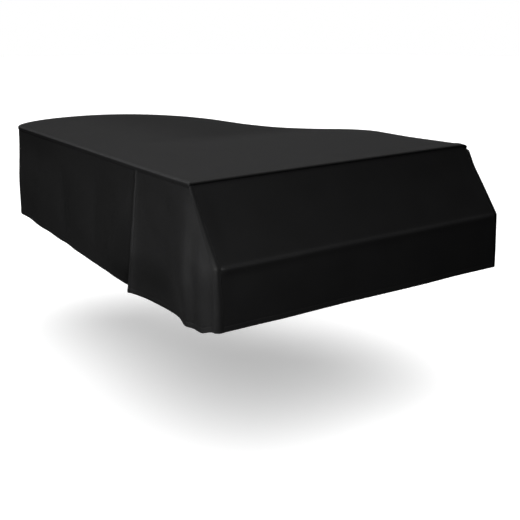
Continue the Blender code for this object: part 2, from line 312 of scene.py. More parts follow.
# %% Put points and faces into a mesh object
def mesh_piece(name, points, faces, flat=None, worn=None):
    """A smooth mesh at the origin, with the flat cloth as its UV map, and its wear and painted light
    and shade as an attribute.
    """
    mesh = bpy.data.meshes.new(name)
    mesh.from_pydata(points.tolist(), [], faces)
    mesh.update()
    if flat is not None:
        corners = np.zeros(len(mesh.loops), np.int32)
        mesh.loops.foreach_get("vertex_index", corners)
        mesh.uv_layers.new(name="flat_cloth").data.foreach_set("uv", flat[corners].ravel())
        mesh.attributes.new("worn", "FLOAT", "POINT").data.foreach_set("value", worn)
    mesh.shade_smooth()
    piece = bpy.data.objects.new(name, mesh)
    bpy.context.scene.collection.objects.link(piece)
    return piece


def measure(piece, node):
    """Prints how far a piece's box stands outside the box of its solid, in millimetres."""
    low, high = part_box(node)
    points = np.array([vertex.co for vertex in piece.data.vertices])
    proud = np.maximum(np.array(low) - points.min(0), points.max(0) - np.array(high)).max()
    print(f"{piece.name}: {len(piece.data.polygons)} faces, {1000 * proud:.1f} mm proud of {node}")


# %% [markdown]
# ## Shader maths as plain sums
#
# A weave is a formula, and a formula is easier to read as a sum than as a drawing of forty
# nodes. `Wire` wraps a node's output. Adding or multiplying wires adds the Math node that does
# it. Any other node comes from `Finish.node`, which sets the node's own settings first and then
# its sockets.

# %% Wires and finishes
class Wire:
    """A node's output, which can stand in a sum."""

    def __init__(self, finish, socket):
        self.finish = finish
        self.socket = socket

    def maths(self, operation, *values):
        """Adds a Math node that works the values out, and gives its result as a wire."""
        return self.finish.node("ShaderNodeMath", {"operation": operation}, dict(enumerate(values)))

    def __add__(self, other):
        return self.maths("ADD", self, other)

    def __sub__(self, other):
        return self.maths("SUBTRACT", self, other)

    def __rsub__(self, other):
        return self.maths("SUBTRACT", other, self)

    def __mul__(self, other):
        return self.maths("MULTIPLY", self, other)

    def __truediv__(self, other):
        return self.maths("DIVIDE", self, other)

    __radd__ = __add__
    __rmul__ = __mul__


class Finish:
    """A material that is being mixed."""

    def __init__(self, name):
        self.material = bpy.data.materials.new(name)
        self.material.use_nodes = True
        self.tree = self.material.node_tree
        self.shader = self.tree.nodes["Principled BSDF"]

    def put(self, socket, value):
        """Links a wire to a socket, or sets the socket to a plain value."""
        if isinstance(value, Wire):
            self.tree.links.new(value.socket, socket)
        else:
            socket.default_value = value

    def node(self, kind, settings=None, sockets=None, output=0):
        """Adds a node, sets its settings, fills its sockets, and gives one output as a wire."""
        made = self.tree.nodes.new(kind)
        for key, value in (settings or {}).items():
            setattr(made, key, value)
        for key, value in (sockets or {}).items():
            self.put(made.inputs[key], value)
        return Wire(self, made.outputs[output])

    def noise(self, size, detail, place=None):
        """Soft noise whose patches are about as wide as size."""
        sockets = {} if place is None else {"Vector": place}
        return self.node("ShaderNodeTexNoise", None, {**sockets, "Scale": 1 / size, "Detail": detail})

    def shade(self, **values):
        """Fills the shader's sockets; an underscore in a name stands for a space."""
        for key, value in values.items():
            self.put(self.shader.inputs[key.replace("_", " ")], value)


# %% [markdown]
# ## The cloth
#
# The cover is a plain-woven black cloth with a dull sheen. Its threads are about 0.9 mm apart.
# Each thread is round, and it goes over one neighbour and under the next. In the shader, the
# sine of the place along the cloth is positive on every other warp thread and negative between
# them, and the same holds for the weft, so the product of the two says which thread lies on
# top. A faint, large mottling keeps the wide panels from looking printed. One attribute holds
# the cloth's wear and the light and shade painted onto it. Above zero it makes the cloth paler
# and smoother: real rubbing on the hems and the rim, and painted highlights along the spine, the
# ridge, the slit and the front corner. Where it climbs past a point, in the spine's painted
# highlight, the cloth is pale and rough again. Below zero it is painted shade, darker and
# rougher than anywhere else.

# %% Woven cloth
THREAD = 0.0009                # from one thread to the next, in metres
MOTTLE_SIZE = 0.16
SLUB_SIZE = 0.012              # the thick places in a thread
SLUB_HEIGHT = 0.8              # as a share of the height of a thread
WEAVE_HEIGHT = 0.0003
WEAVE_STRENGTH = 0.35
HIGHLIGHT_ROUGH_FROM = 1.8                   # a painted highlight beyond this makes the cloth rough again
PLAIN_TONE = 0.70              # tone of the cloth, to which its patterns add the next four
THREAD_TONE = 0.25
MOTTLE_TONE = 0.30
SLUB_TONE = 0.12
WEAR_AND_PAINT_TONE = 0.60
PALE_TONE = 3.4                # the tone that has the whole of the pale colour
PALE = (3.50, 3.50, 3.60)      # the pale colour in shades of the cloth, a touch blue
PLAIN_ROUGH = 0.52             # roughness of the cloth, and what wear, painted light and mottling change in it
WORN_SMOOTH = 0.06
HIGHLIGHT_ROUGH = 0.12
PAINTED_SHADE_ROUGH = 0.22
MOTTLE_ROUGH = 0.06
SHEEN = 0.05


def woven_cloth(name, shade):
    """A plain weave: round warp and weft threads, mixed by which lies on top; paler where worn or
    painted light, darker where painted shade.
    """
    cloth = Finish(name)
    place = cloth.node("ShaderNodeUVMap", {"uv_map": "flat_cloth"})
    parts = cloth.node("ShaderNodeSeparateXYZ", sockets={0: place})
    warp_place = parts * (np.pi / THREAD)
    weft_place = Wire(cloth, parts.socket.node.outputs[1]) * (np.pi / THREAD)
    warp_wave = warp_place.maths("SINE", warp_place)
    weft_wave = weft_place.maths("SINE", weft_place)
    warp = warp_wave.maths("ABSOLUTE", warp_wave)
    weft = weft_wave.maths("ABSOLUTE", weft_wave)
    on_top = warp_wave * weft_wave * 0.5 + 0.5
    threads = warp * on_top + weft * (1 - on_top)
    mottle = cloth.noise(MOTTLE_SIZE, 3.0, place)
    slub = cloth.noise(SLUB_SIZE, 2.0, place)
    worn = cloth.node("ShaderNodeAttribute", {"attribute_name": "worn"}, output=2)
    tone = PLAIN_TONE + threads * THREAD_TONE + mottle * MOTTLE_TONE + slub * SLUB_TONE
    # The wear attribute also carries painted light: above zero real rubbing and painted highlights make
    # the colour paler, below zero painted shade makes it darker.
    tone = (tone + worn * WEAR_AND_PAINT_TONE) / PALE_TONE
    deep = (0.0, 0.0, 0.0, 1.0)
    pale = (*(shade * part for part in PALE), 1.0)
    # Below zero the attribute is painted shade, which also roughens the cloth; past a point, reached
    # only in the spine's painted highlight, it roughens the cloth again.
    painted_shade = worn.maths("MINIMUM", worn, 0.0)
    highlight_excess = worn.maths("MAXIMUM", worn - HIGHLIGHT_ROUGH_FROM, 0.0)
    colour = cloth.node("ShaderNodeMix", {"data_type": "RGBA"}, {0: tone, 6: deep, 7: pale}, output=2)
    relief = cloth.node("ShaderNodeBump", None, {"Strength": WEAVE_STRENGTH, "Distance": WEAVE_HEIGHT,
                                                 "Height": threads + slub * SLUB_HEIGHT})
    rough = PLAIN_ROUGH - worn * WORN_SMOOTH + highlight_excess * HIGHLIGHT_ROUGH - painted_shade * PAINTED_SHADE_ROUGH
    rough = rough + mottle * MOTTLE_ROUGH
    cloth.shade(Base_Color=colour, Roughness=rough, Normal=relief,
                Specular_IOR_Level=0.50, Sheen_Weight=SHEEN, Sheen_Roughness=0.45)
    return cloth.material


top_finish = woven_cloth("top cloth", 0.020)
skirt_finish = woven_cloth("skirt cloth", 0.018)
front_finish = woven_cloth("front cloth", 0.016)
flap_finish = woven_cloth("flap cloth", 0.019)
print("cloth finishes:", [material.name for material in bpy.data.materials if "cloth" in material.name])

# %% [markdown]
# ## The sewing
#
# Hems and laps are held by rows of lock stitches. A stitch is a short piece of thread that comes
# out of the cloth, lies on it and goes back in. There are thousands, so each has only a few
# faces: a bent tube of four rings with five sides. All of a piece's stitches are one mesh,
# worked out from the points and normals of the line that they follow. The thread itself is
# black too, and a very fine noise breaks its shine up into fibres.

# %% Thread
THREAD_WIDTH = 0.0009
STITCH_PITCH = 0.0048
STITCH_LENGTH = 0.0038
STITCH_SECTIONS = (
    # along   height   radius, in parts of the length and of the thread's width
    (-0.50,  -0.45,    0.35),
    (-0.25,   0.12,    0.50),
    (0.25,    0.12,    0.50),
    (0.50,   -0.45,    0.35),
)
STITCH_SIDES = 5
FIBRE_SIZE = 1 / 900
FIBRE_HEIGHT = 0.0002
FIBRE_STRENGTH = 0.4
FIBRE_ROUGH = (0.42, 0.2)      # roughness between the fibres, and what the fibres add
THREAD_DARK = (0.016, 0.016, 0.017, 1.0)
THREAD_LIGHT = (0.045, 0.045, 0.047, 1.0)


def thread_finish():
    """One fine noise is the height of the fibres, mixes two blacks and adds to the roughness."""
    thread = Finish("sewing thread")
    place = thread.node("ShaderNodeTexCoord", output="Object")
    fibres = thread.noise(FIBRE_SIZE, 1.0, place)
    relief = thread.node("ShaderNodeBump", None,
                         {"Strength": FIBRE_STRENGTH, "Distance": FIBRE_HEIGHT, "Height": fibres})
    colour = thread.node("ShaderNodeMix", {"data_type": "RGBA"},
                         {0: fibres, 6: THREAD_DARK, 7: THREAD_LIGHT}, output=2)
    thread.shade(Base_Color=colour, Roughness=FIBRE_ROUGH[0] + fibres * FIBRE_ROUGH[1], Normal=relief)
    return thread.material


thread_material = thread_finish()
print("thread finish:", thread_material.name)


# %% Walk along a line
def running_length(line):
    """The running sum of the lengths of a line's steps, from 0 at its first point."""
    return np.concatenate(([0.0], np.cumsum(np.linalg.norm(np.diff(line, axis=0), axis=1))))


def along_line(places, walked, values):
    """Each column of the values, interpolated between the points of a line that has been walked."""
    return np.stack([np.interp(places, walked, column) for column in values.T], axis=-1)


# %% Drop a stitch at every step
LOOK_AHEAD = 0.001             # a stitch points to where the line is this much further on


def stitch_row(line, normals):
    """Points of the stitches along one line: its rings, set across the way that the line runs."""
    walked = running_length(line)
    count = int((walked[-1] - STITCH_PITCH) / STITCH_PITCH)
    middles = (walked[-1] - count * STITCH_PITCH) / 2 + STITCH_PITCH * (np.arange(count) + 0.5)
    at = along_line(middles, walked, line)
    up = unit(along_line(middles, walked, normals))
    way = unit(along_line(middles + LOOK_AHEAD, walked, line) - at)
    side = unit(np.cross(up, way))
    sections = np.array(STITCH_SECTIONS)
    turn = 2 * np.pi * np.arange(STITCH_SIDES) / STITCH_SIDES
    along = np.repeat(sections[:, 0] * STITCH_LENGTH, STITCH_SIDES)
    wide = np.outer(sections[:, 2], np.cos(turn)).ravel() * THREAD_WIDTH
    high = (sections[:, 1:2] + np.outer(sections[:, 2], np.sin(turn))).ravel() * THREAD_WIDTH
    points = (at[:, None] + way[:, None] * along[:, None] + side[:, None] * wide[:, None]
              + up[:, None] * high[:, None])
    return points.reshape(-1, 3)


def stitch_faces(count):
    """Faces of one stitch, repeated with the point numbers moved on."""
    size = len(STITCH_SECTIONS) * STITCH_SIDES
    numbers = np.arange(size).reshape(len(STITCH_SECTIONS), STITCH_SIDES)
    wrapped = np.hstack((numbers, numbers[:, :1]))
    sides = grid_quads(wrapped).reshape(-1, 4)[:, ::-1]
    caps = [numbers[0].tolist(), numbers[-1, ::-1].tolist()]
    moved = size * np.arange(count)
    faces = (sides[None] + moved[:, None, None]).reshape(-1, 4).tolist()
    for cap in caps:
        faces += (np.array(cap)[None] + moved[:, None]).tolist()
    return faces


def sew_lines(name, lines):
    """One mesh with the stitches of several lines; each line is its points and its normals."""
    points = np.vstack([stitch_row(line, normals) for line, normals in lines])
    count = len(points) // (len(STITCH_SECTIONS) * STITCH_SIDES)
    stitches = mesh_piece(name, points, stitch_faces(count))
    stitches.data.materials.append(thread_material)
    print(f"{name}: {count} stitches")
    return stitches


# %% [markdown]
# A piece of cloth and its stitches go on the frame together. Each rides on the body and stands
# for its solid, which is hidden. The cloth gets its finish, and how far it stands proud of its
# solid is printed.

# %% Put a finished piece on the frame
def dress(cloth, stitches, node, material):
    """The finish, the body, the solid it stands for, and how far the cloth stands proud of it."""
    cloth.data.materials.append(material)
    for piece in (cloth, stitches):
        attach(piece, "root")
    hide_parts(node)
    measure(cloth, node)


# %% [markdown]
# ## The outline of the lid
#
# A grand piano's lid has a straight spine on the bass side, a rounded tail, and a bentside that
# curves in and out again to the treble corner. A few stations say where the outline passes and
# which way it runs there. A Hermite curve joins each to the next: it leaves along the first
# heading and arrives along the second.

# %% Stations and the curve through them
SPINE_LENGTH = 1.86
LID_STATIONS = np.array((
    # across   behind   heading: metres from the spine and behind the front edge, degrees
    (0.000,   SPINE_LENGTH, 90),
    (0.028,   1.945,        59),
    (0.190,   2.077,        27),
    (0.450,   2.128,         0),
    (0.700,   2.062,       -31),
    (0.915,   1.842,       -59),
    (1.030,   1.555,       -77),
    (1.090,   1.222,       -74),
    (1.165,   1.032,       -58),
    (1.310,   0.863,       -41),
    (1.440,   0.752,       -50),
    (1.500,   0.600,       -90),
))
SPAN_STEPS = 60


def hermite(start, start_way, end, end_way, share):
    """The cubic that leaves start along start_way and reaches end along end_way."""
    square = share ** 2
    cube = share ** 3
    leaving = (2 * cube - 3 * square + 1) * start + (cube - 2 * square + share) * start_way
    return leaving + (3 * square - 2 * cube) * end + (cube - square) * end_way


def lid_line():
    """Straight spine, then the Hermite curves with pulls as long as their chords, then straight."""
    corner = np.array([-HALF_WIDTH, FRONT_EDGE_Y])
    places = corner + LID_STATIONS[:, :2]
    headings = np.radians(LID_STATIONS[:, 2])
    ways = np.stack((np.cos(headings), np.sin(headings)), axis=1)
    chords = np.linalg.norm(np.diff(places, axis=0), axis=1)[:, None, None]
    share = (np.arange(SPAN_STEPS) / SPAN_STEPS)[None, :, None]
    curves = hermite(places[:-1, None], ways[:-1, None] * chords,
                     places[1:, None], ways[1:, None] * chords, share)
    ends = np.array([places[-1], (HALF_WIDTH, FRONT_EDGE_Y)])
    return np.vstack((corner, curves.reshape(-1, 2), ends))


LID = lid_line()
LID_WALK = running_length(LID)
LID_LENGTH = LID_WALK[-1]


def on_lid(distance):
    """Point of the lid's edge at a distance from its bass front corner."""
    return along_line(distance, LID_WALK, LID)


def off_lid(distance, reach=0.006):
    """Level direction away from the lid: the way that the edge runs, turned a quarter left."""
    ahead = on_lid(np.minimum(distance + reach, LID_LENGTH)) - on_lid(np.maximum(distance - reach, 0.0))
    return unit(np.stack((-ahead[..., 1], ahead[..., 0]), axis=-1))


print(f"the edge from front corner to front corner is {LID_LENGTH:.3f} m long")

# %% [markdown]
# ## The top
#
# The top lies flat on the lid. Its edge is rolled over and laps down over the other pieces. On
# the real cover that roll is what catches the light along the spine and what draws the dark line
# along the front. The grid's columns start at one point in the middle and run out to the edge,
# then round the roll and down the lip. Soft hills of a millimetre or two keep it from being a
# perfect plane, and its front edge stands up a little, most of all at the treble end.

# %% The raised front edge
FRONT_LIFT = (0.0030, 0.0150)                # at the bass and at the treble corner
LIFT_GROWTH = 0.8                            # how it grows from the one to the other
LIFT_RUNS = (0.10, 0.45)                     # one part is gone this far behind, the other here
LIFT_PARTS = (0.45, 0.55)
DROOP = 0.010                                # but the treble corner droops again by this much
DROOP_REACH = (0.034, 0.060)                 # within these distances to the side and behind


def front_lift(across, behind):
    """The lift grows from corner to corner and eases away behind the front edge."""
    away = LIFT_PARTS[0] * fade(behind, LIFT_RUNS[0]) + LIFT_PARTS[1] * fade(behind, LIFT_RUNS[1])
    far = np.hypot((1 - across) * 2 * HALF_WIDTH / DROOP_REACH[0], behind / DROOP_REACH[1])
    return mix(*FRONT_LIFT, across ** LIFT_GROWTH) * away - DROOP * np.maximum(1 - far, 0.0) ** 2


def lid_lift(x, y):
    """The same lift by a place on the lid."""
    return front_lift(np.clip(x / (2 * HALF_WIDTH) + 0.5, 0.0, 1.0), y - FRONT_EDGE_Y)


# %% The edge of the flat part
CORNER_RADIUS = {"left": (0.006, 0.026), "right": (0.020, 0.018)}   # at the top and at the hem
FRONT_ROLL_Y = top_low.y + RIM_ROLL          # the roll starts here at the front
CORNER_STEPS = 10
EDGE_STEP = 0.012


def round_corner(sign, radius, turns):
    """A quarter circle: its middle plus the radius times a direction that turns."""
    normals = np.stack((sign * np.cos(turns), -np.sin(turns)), axis=1)
    centre = np.array([sign * (HALF_WIDTH + RIM_SHIFT - radius), FRONT_ROLL_Y + radius])
    return centre + radius * normals, normals


def rim_line():
    """The roll's starting line clockwise from above, and the level direction away from the lid."""
    radii = {side: CORNER_RADIUS[side][0] + RIM_GAP + CLOTH - RIM_ROLL for side in CORNER_RADIUS}
    turns = np.linspace(0, np.pi / 2, CORNER_STEPS + 1)
    starts = [radii[side] + FRONT_ROLL_Y - FRONT_EDGE_Y for side in ("left", "right")]
    walked = np.arange(starts[0] + EDGE_STEP, LID_LENGTH - starts[1] - EDGE_STEP / 2, EDGE_STEP)
    sides = on_lid(walked) + off_lid(walked) * RIM_SHIFT, off_lid(walked)
    treble = round_corner(1, radii["right"], turns)
    bass = round_corner(-1, radii["left"], turns[::-1])
    steps = int((treble[0][-1, 0] - bass[0][0, 0]) / EDGE_STEP)
    share = (np.arange(1, steps) / steps)[:, None]
    front = mix(treble[0][-1], bass[0][0], share), np.broadcast_to((0.0, -1.0), (steps - 1, 2))
    return [np.vstack(parts) for parts in zip(sides, treble, front, bass)]


rim_points, rim_out = rim_line()
print(f"the rolled edge has {len(rim_points)} columns")

# %% The face of the top, from the middle to the end of the lip
TOP_MIDDLE = np.array([-0.20, 0.10])         # every point of the edge can be seen from here
TOP_HILL = 0.0016
HILL_WAVE = 0.55
HILL_FADE = 0.10
ROLL_STEPS = 7
FRONT_LIP = 0.0020                           # the lip is shorter where the slope starts under it
LIP_ROWS = np.array((0.35, 0.7, 0.9, 1.0))   # as shares of its length
RIM_ROW = 0.0016                             # of flat cloth from one row of the rim to the next
WIDE_ROWS = np.linspace(0.04, 0.96, 34)      # shares of the way from the middle to the edge,
NEAR_ROWS = (0.975, 0.985, 0.993, 0.998)     # which lie closer where the rim's wear begins
top_shares = np.concatenate((WIDE_ROWS, NEAR_ROWS))[:, None]
rim_rows = ROLL_STEPS + len(LIP_ROWS)


def top_hills(x, y, edge_share):
    """Unevenness lifted to be above the lid everywhere, fading out towards the edge."""
    hills = 0.5 + 0.5 * np.tanh(uneven(x, y, HILL_WAVE, seed=11))
    return TOP_HILL * hills * rise(1 - edge_share, HILL_FADE)


def top_face():
    """Flat rows mixed from the middle to the edge, a quarter circle, then straight down."""
    flat = mix(TOP_MIDDLE, rim_points[None], top_shares[:, :, None])
    lift = top_hills(flat[..., 0], flat[..., 1], top_shares) + lid_lift(flat[..., 0], flat[..., 1])
    flat = np.concatenate((flat, CLOTH + lift[..., None]), axis=2)
    rim_lift = lid_lift(rim_points[:, 0], rim_points[:, 1])
    turn = np.linspace(0, np.pi / 2, ROLL_STEPS)[:, None]
    level = rim_points[None] + rim_out[None] * RIM_ROLL * np.sin(turn)[..., None]
    height = rim_lift + CLOTH - RIM_ROLL * (1 - np.cos(turn))
    roll = np.concatenate((level, height[..., None]), axis=2)
    lip_length = mix(RIM_LIP + rim_lift, FRONT_LIP, ease(-rim_out[:, 1]))
    fall = LIP_ROWS[:, None] * lip_length
    lip = np.concatenate((np.broadcast_to(level[-1], (len(LIP_ROWS), *level[-1].shape)),
                          (height[-1] - fall)[..., None]), axis=2)
    return np.concatenate((flat, roll, lip))


top_points = top_face()
top_flat = top_points[..., :2].copy()
top_flat[len(top_shares):] += rim_out * (np.arange(rim_rows) * RIM_ROW)[:, None, None]
print(f"the top stands {1000 * top_points[..., 2].max():.1f} mm above the lid")

# %% [markdown]
# The rim is told from the rest by wear and by painted light and shade. The rolled edge is rubbed
# a little all round, and along the spine a painted highlight makes it a light line. Along the
# front the rubbing is left out and painted shade darkens the edge, and painted shade darkens the
# tail end of the top. Two tables give the rubbing and the spine's painted highlight for the last
# five flat rows, the roll and the lip, and the way that the edge faces mixes them.

# %% How worn the top is, and the light and shade painted on it
RIM_WORN = np.array((0.0,) * 3 + (1.0,) * 11 + (0.0,) * 2)
# Painted highlight: along the spine the rolled edge is painted pale as a light line.
SPINE_HIGHLIGHT = np.array((0.0, 0.8, 3.0, 4.6, 4.8, 4.8, 4.6, 4.2, 3.4, 2.2, 1.2, 0.6, 0.2, 0.2, 0.0, 0.0))
FRONT_EDGE_SHADE = (-0.2, -0.6, -1.1)               # painted shade along the front edge, from the third last flat row outwards
# Painted shade: the tail end of the top is painted darker.
TAIL_SHADE = -0.65
SPINE_FACING = (0.2, 0.8)                    # share of the way out that points to the bass side
FRONT_FACING = (0.4, 0.5)                    # or to the front: run and start, as for rise
TAIL_BEHIND = (0.30, 0.0)                    # and where the tail end begins, in metres
TAIL_ACROSS = (0.65, -0.60)
TAIL_ROWS = 4                                # it gives way to the rim's wear in this many rows

along_spine = rise(-rim_out[:, 0], *SPINE_FACING)
to_front = rise(-rim_out[:, 1], *FRONT_FACING)
# Real rubbing all round the rim, mixed with the painted highlight along the spine.
rim_wear_and_highlight = mix(RIM_WORN[:, None], SPINE_HIGHLIGHT[:, None], along_spine)
row = np.arange(len(top_points))
last_flat = len(top_shares) - 1
top_wear_and_painting = np.zeros(top_points.shape[:2])
top_wear_and_painting[-len(RIM_WORN):] = rim_wear_and_highlight * (1 - to_front)
# Painted shade over the tail end of the flat top.
tail = rise(top_points[..., 1], *TAIL_BEHIND) * rise(top_points[..., 0], *TAIL_ACROSS)
top_wear_and_painting += TAIL_SHADE * tail * rise(last_flat - row, TAIL_ROWS)[:, None]
# Painted shade along the front edge of the flat top.
painted_front_shade = np.interp(row[last_flat - 2:] - last_flat, (-2, -1, 0), FRONT_EDGE_SHADE)
top_wear_and_painting[last_flat - 2:] += painted_front_shade[:, None] * to_front
print(f"wear of the top from {top_wear_and_painting.min():.2f} to {top_wear_and_painting.max():.2f}")

# %% Sew the top
TOP_STITCH_IN = 0.004          # from the start of the roll to the stitches
top_middle = np.array([*TOP_MIDDLE, CLOTH + TOP_HILL / 2])
cover_top = sew_sheet("cover_top", top_points, CLOTH, top_flat, top_wear_and_painting, middle=top_middle)
stitch_line = np.column_stack((rim_points - rim_out * TOP_STITCH_IN, CLOTH + lid_lift(*rim_points.T)))
stitch_line = np.vstack((stitch_line, stitch_line[:1]))
upwards = np.broadcast_to((0.0, 0.0, 1.0), stitch_line.shape)
top_stitches = sew_lines("cover_top_stitching", [(stitch_line, upwards)])
dress(cover_top, top_stitches, "top_panel", top_finish)

# %% [markdown]
# ## Hems
#
# Every hanging piece ends in a hem: its edge is turned to the inside and stitched. The hem is
# thicker, a little proud of the cloth above it, and pulled in along the stitches. The rows of
# the grids lie close together there, because that is where the form is fine.

# %% Rows and relief of a hem
HEM_HEIGHT = 0.022             # from the fold to the stitches
HEM_EXTRA = 0.0012             # the turned layer on the inside
HEM_PROUD = 0.0005
HEM_STEP = 0.003               # the hem steps out within this height
FOLD_STEP = 0.004              # and its second layer starts within this one
HEM_RUBBED = 0.006             # the fold is rubbed pale to about this height
STITCH_DIP = 0.0005
DIP_WIDTH = 0.0022
DIP_PARTS = (0.6, 0.5)         # of the dip everywhere, and more of it in a pucker
PUCKER_PITCH = 0.021
PUCKER_DRIFT = (2.2, 0.37)     # puckers shift by this angle, back and forth in this length
HEM_ROWS = np.array((0.0, 0.0012, 0.004, 0.009, 0.014, 0.018, 0.0205, 0.022, 0.0235, 0.026, 0.031))


def hem_relief(height, along):
    """A small step out below the stitches, a dip at them, and puckers that come and go."""
    shift, length = PUCKER_DRIFT
    drift = shift * np.sin(2 * np.pi * along / length)
    pucker = 0.5 + 0.5 * np.sin(2 * np.pi * along / PUCKER_PITCH + drift)
    dip = STITCH_DIP * (DIP_PARTS[0] + DIP_PARTS[1] * pucker) * bell(height, HEM_HEIGHT, DIP_WIDTH)
    return HEM_PROUD * rise(HEM_HEIGHT - height, HEM_STEP) - dip


def hem_thickness(height):
    """One layer, and one more below the stitches."""
    return CLOTH + HEM_EXTRA * rise(HEM_HEIGHT - height, FOLD_STEP)


# %% [markdown]
# ## How cloth hangs
#
# Three habits of hanging cloth are used below. It leaves the lid slowly and stands out more and
# more towards its hem, which is stiff. Where it was folded in its bag it keeps a soft level
# crease: it leans out above the crease and tucks in below it. And between upright creases it
# bellies out, so that each crease is a shallow valley.

# %% Flare, belly and valleys
FLARE_GROWTH = 1.15            # the cloth leaves the lid slowly at first
TUCK = 0.16                    # it stands out above its hem by this share of the flare
TUCK_PEAK = 6.75               # makes the highest point of (1 - depth) * depth ** 2 equal to 1
BELLY_CREASE = 0.66            # depth of the level crease, as a share of the height
BELLY_ROUND = 0.10
VALLEY_ROUND = 0.06            # how round the bottom of a valley is, as a share of the panel


def hang(depth, tuck=TUCK):
    """A power of the depth, and a swelling that is highest two thirds of the way down."""
    return depth ** FLARE_GROWTH + tuck * TUCK_PEAK * (1 - depth) * depth ** 2


def softer_of(first, second, soft):
    """The lower of two lines, with the corner between them rounded off."""
    return (first + second - np.sqrt((first - second) ** 2 + soft ** 2)) / 2


def belly(depth, crease=BELLY_CREASE):
    """Straight out down to the level crease, straight back in to the hem, rounded between."""
    lean = softer_of(depth / crease, (1 - depth) / (1 - crease), BELLY_ROUND)
    return np.maximum(lean, 0.0)


def panels(place, valleys, heights):
    """Between two valleys the cloth rises as four times share times one less share."""
    number = np.interp(place, valleys, np.arange(len(valleys)))
    panel = np.clip(number.astype(int), 0, len(heights) - 1)
    share = np.clip(number - panel, 0.0, 1.0)
    near = np.minimum(share, 1 - share)
    near = np.sqrt(near ** 2 + VALLEY_ROUND ** 2) - VALLEY_ROUND
    return heights[panel] * 4 * near * (1 - near)


# %% [markdown]
# ## The rear skirt
#
# One long strip hangs from the slit on the bass side, round the tail, to the slit on the treble
# side. A table gives how far it waves, how far the hem stands out, and how deep it hangs.
# Between rows the values ease, which is how cloth moves from one fold to the next. The long
# straight bass side is different: there the cloth keeps two upright creases from its bag.

# %% How the rear skirt hangs
SLIT_TOP = 0.440               # the slit's place behind the lid's front edge, at the top
SLIT_HEM = 0.452               # and at the hem
SLIT_LAP = 0.055               # the skirt runs on under the flap
REAR_STATIONS = np.array((
    # share    wave    flare   drop
    (0.000,   0.000,  0.033,  0.520),
    (0.015,   0.000,  0.046,  0.520),
    (0.048,   0.000,  0.044,  0.518),
    (0.085,   0.000,  0.035,  0.520),
    (0.160,   0.000,  0.029,  0.511),
    (0.205,   0.000,  0.028,  0.504),
    (0.262,   0.000,  0.025,  0.496),
    (0.330,   0.000,  0.022,  0.488),
    (0.390,   0.002,  0.025,  0.491),
    (0.440,  -0.003,  0.025,  0.493),
    (0.500,   0.008,  0.028,  0.492),
    (0.560,  -0.002,  0.026,  0.495),
    (0.625,   0.009,  0.029,  0.497),
    (0.690,  -0.001,  0.027,  0.496),
    (0.750,   0.008,  0.029,  0.499),
    (0.820,  -0.001,  0.030,  0.503),
    (0.890,   0.009,  0.034,  0.508),
    (0.945,  -0.001,  0.037,  0.513),
    (1.000,   0.000,  0.040,  0.517),
))
BASS_VALLEYS = np.array((
    # at_top  at_hem  height of the panel after it
    (-0.030,  -0.030,  0.011),
    (0.103,    0.100,  0.022),
    (0.214,    0.181,  0.018),
    (0.349,    0.349,  0.000),
    (1.100,    1.100,  0.000),
))
HEM_SWELL = 0.3                # share of each fold that is left in the stiff hem
SKIRT_BELLY = 0.018            # the level crease, which sinks and fades along the bass side
BELLY_END = 0.20
BELLY_SINKS = 0.86             # its depth where it ends
SKIRT_UNEVEN = (0.0012, 0.28)  # how far the unevenness stands out, and how long its waves are
# Run and start, as for rise, of what grows and fades down the skirt, in shares of its depth
WAVE_GROWS = (0.5, 0.0)
WAVE_FADES = (0.5, 0.5)
PANEL_GROWS = (0.45, 0.0)
PANEL_FADES = (0.4, 0.6)
UNEVEN_GROWS = (0.3, 0.0)
# and of what grows behind the slit, in laps: the cloth under the flap lies plain
LAYER_FREE = (1.0, 1.2)        # the skirt comes out to the layer of the flap
WAVES_FREE = (1.0, 0.8)
UNEVEN_FREE = (1.0, 1.0)
PANELS_FREE = (3.0, 0.9)       # the panels take three laps to reach their full height
SKIRT_START = SLIT_TOP - SLIT_LAP
SKIRT_END = LID_LENGTH - SKIRT_START


def rear_face(distance, depth):
    """The lid's edge, moved away from the lid by layer, flare, folds and unevenness."""
    share = (distance - SKIRT_START) / (SKIRT_END - SKIRT_START)
    keys, waves, flares, drops = REAR_STATIONS.T
    wave, flare, drop = (eased_column(keys, column, share) for column in (waves, flares, drops))
    hung = np.maximum(depth, 0.0)
    lap = np.minimum(distance - SKIRT_START, SKIRT_END - distance) / SLIT_LAP
    at_top, at_hem, heights = BASS_VALLEYS.T
    upright = share - np.interp(share, at_top, at_hem - at_top) * hung
    down = mix(FREE_FROM, drop, depth)
    out = mix(UNDER_LAYER, OVER_LAYER, rise(lap, *LAYER_FREE)) + flare * hang(hung)
    swell = rise(hung, *WAVE_GROWS) * mix(1.0, HEM_SWELL, rise(hung, *WAVE_FADES))
    out = out + wave * swell * rise(lap, *WAVES_FREE)
    panel = panels(upright, at_top, heights[:-1]) * rise(hung, *PANEL_GROWS)
    out = out + panel * mix(1.0, HEM_SWELL, rise(hung, *PANEL_FADES)) * rise(lap, *PANELS_FREE)
    from_slit = np.minimum(share / BELLY_END, 1.0)
    crease = mix(BELLY_CREASE, BELLY_SINKS, from_slit)
    out = out + SKIRT_BELLY * belly(hung, crease) * ease(1 - from_slit)
    high, wave_length = SKIRT_UNEVEN
    unevenness = high * uneven(distance, down, wave_length, seed=3)
    out = out + unevenness * rise(hung, *UNEVEN_GROWS) * rise(lap, *UNEVEN_FREE)
    out = out + hem_relief(drop - down, distance)
    level = on_lid(distance) + off_lid(distance) * out[..., None]
    return np.concatenate((level, -down[..., None]), axis=2)


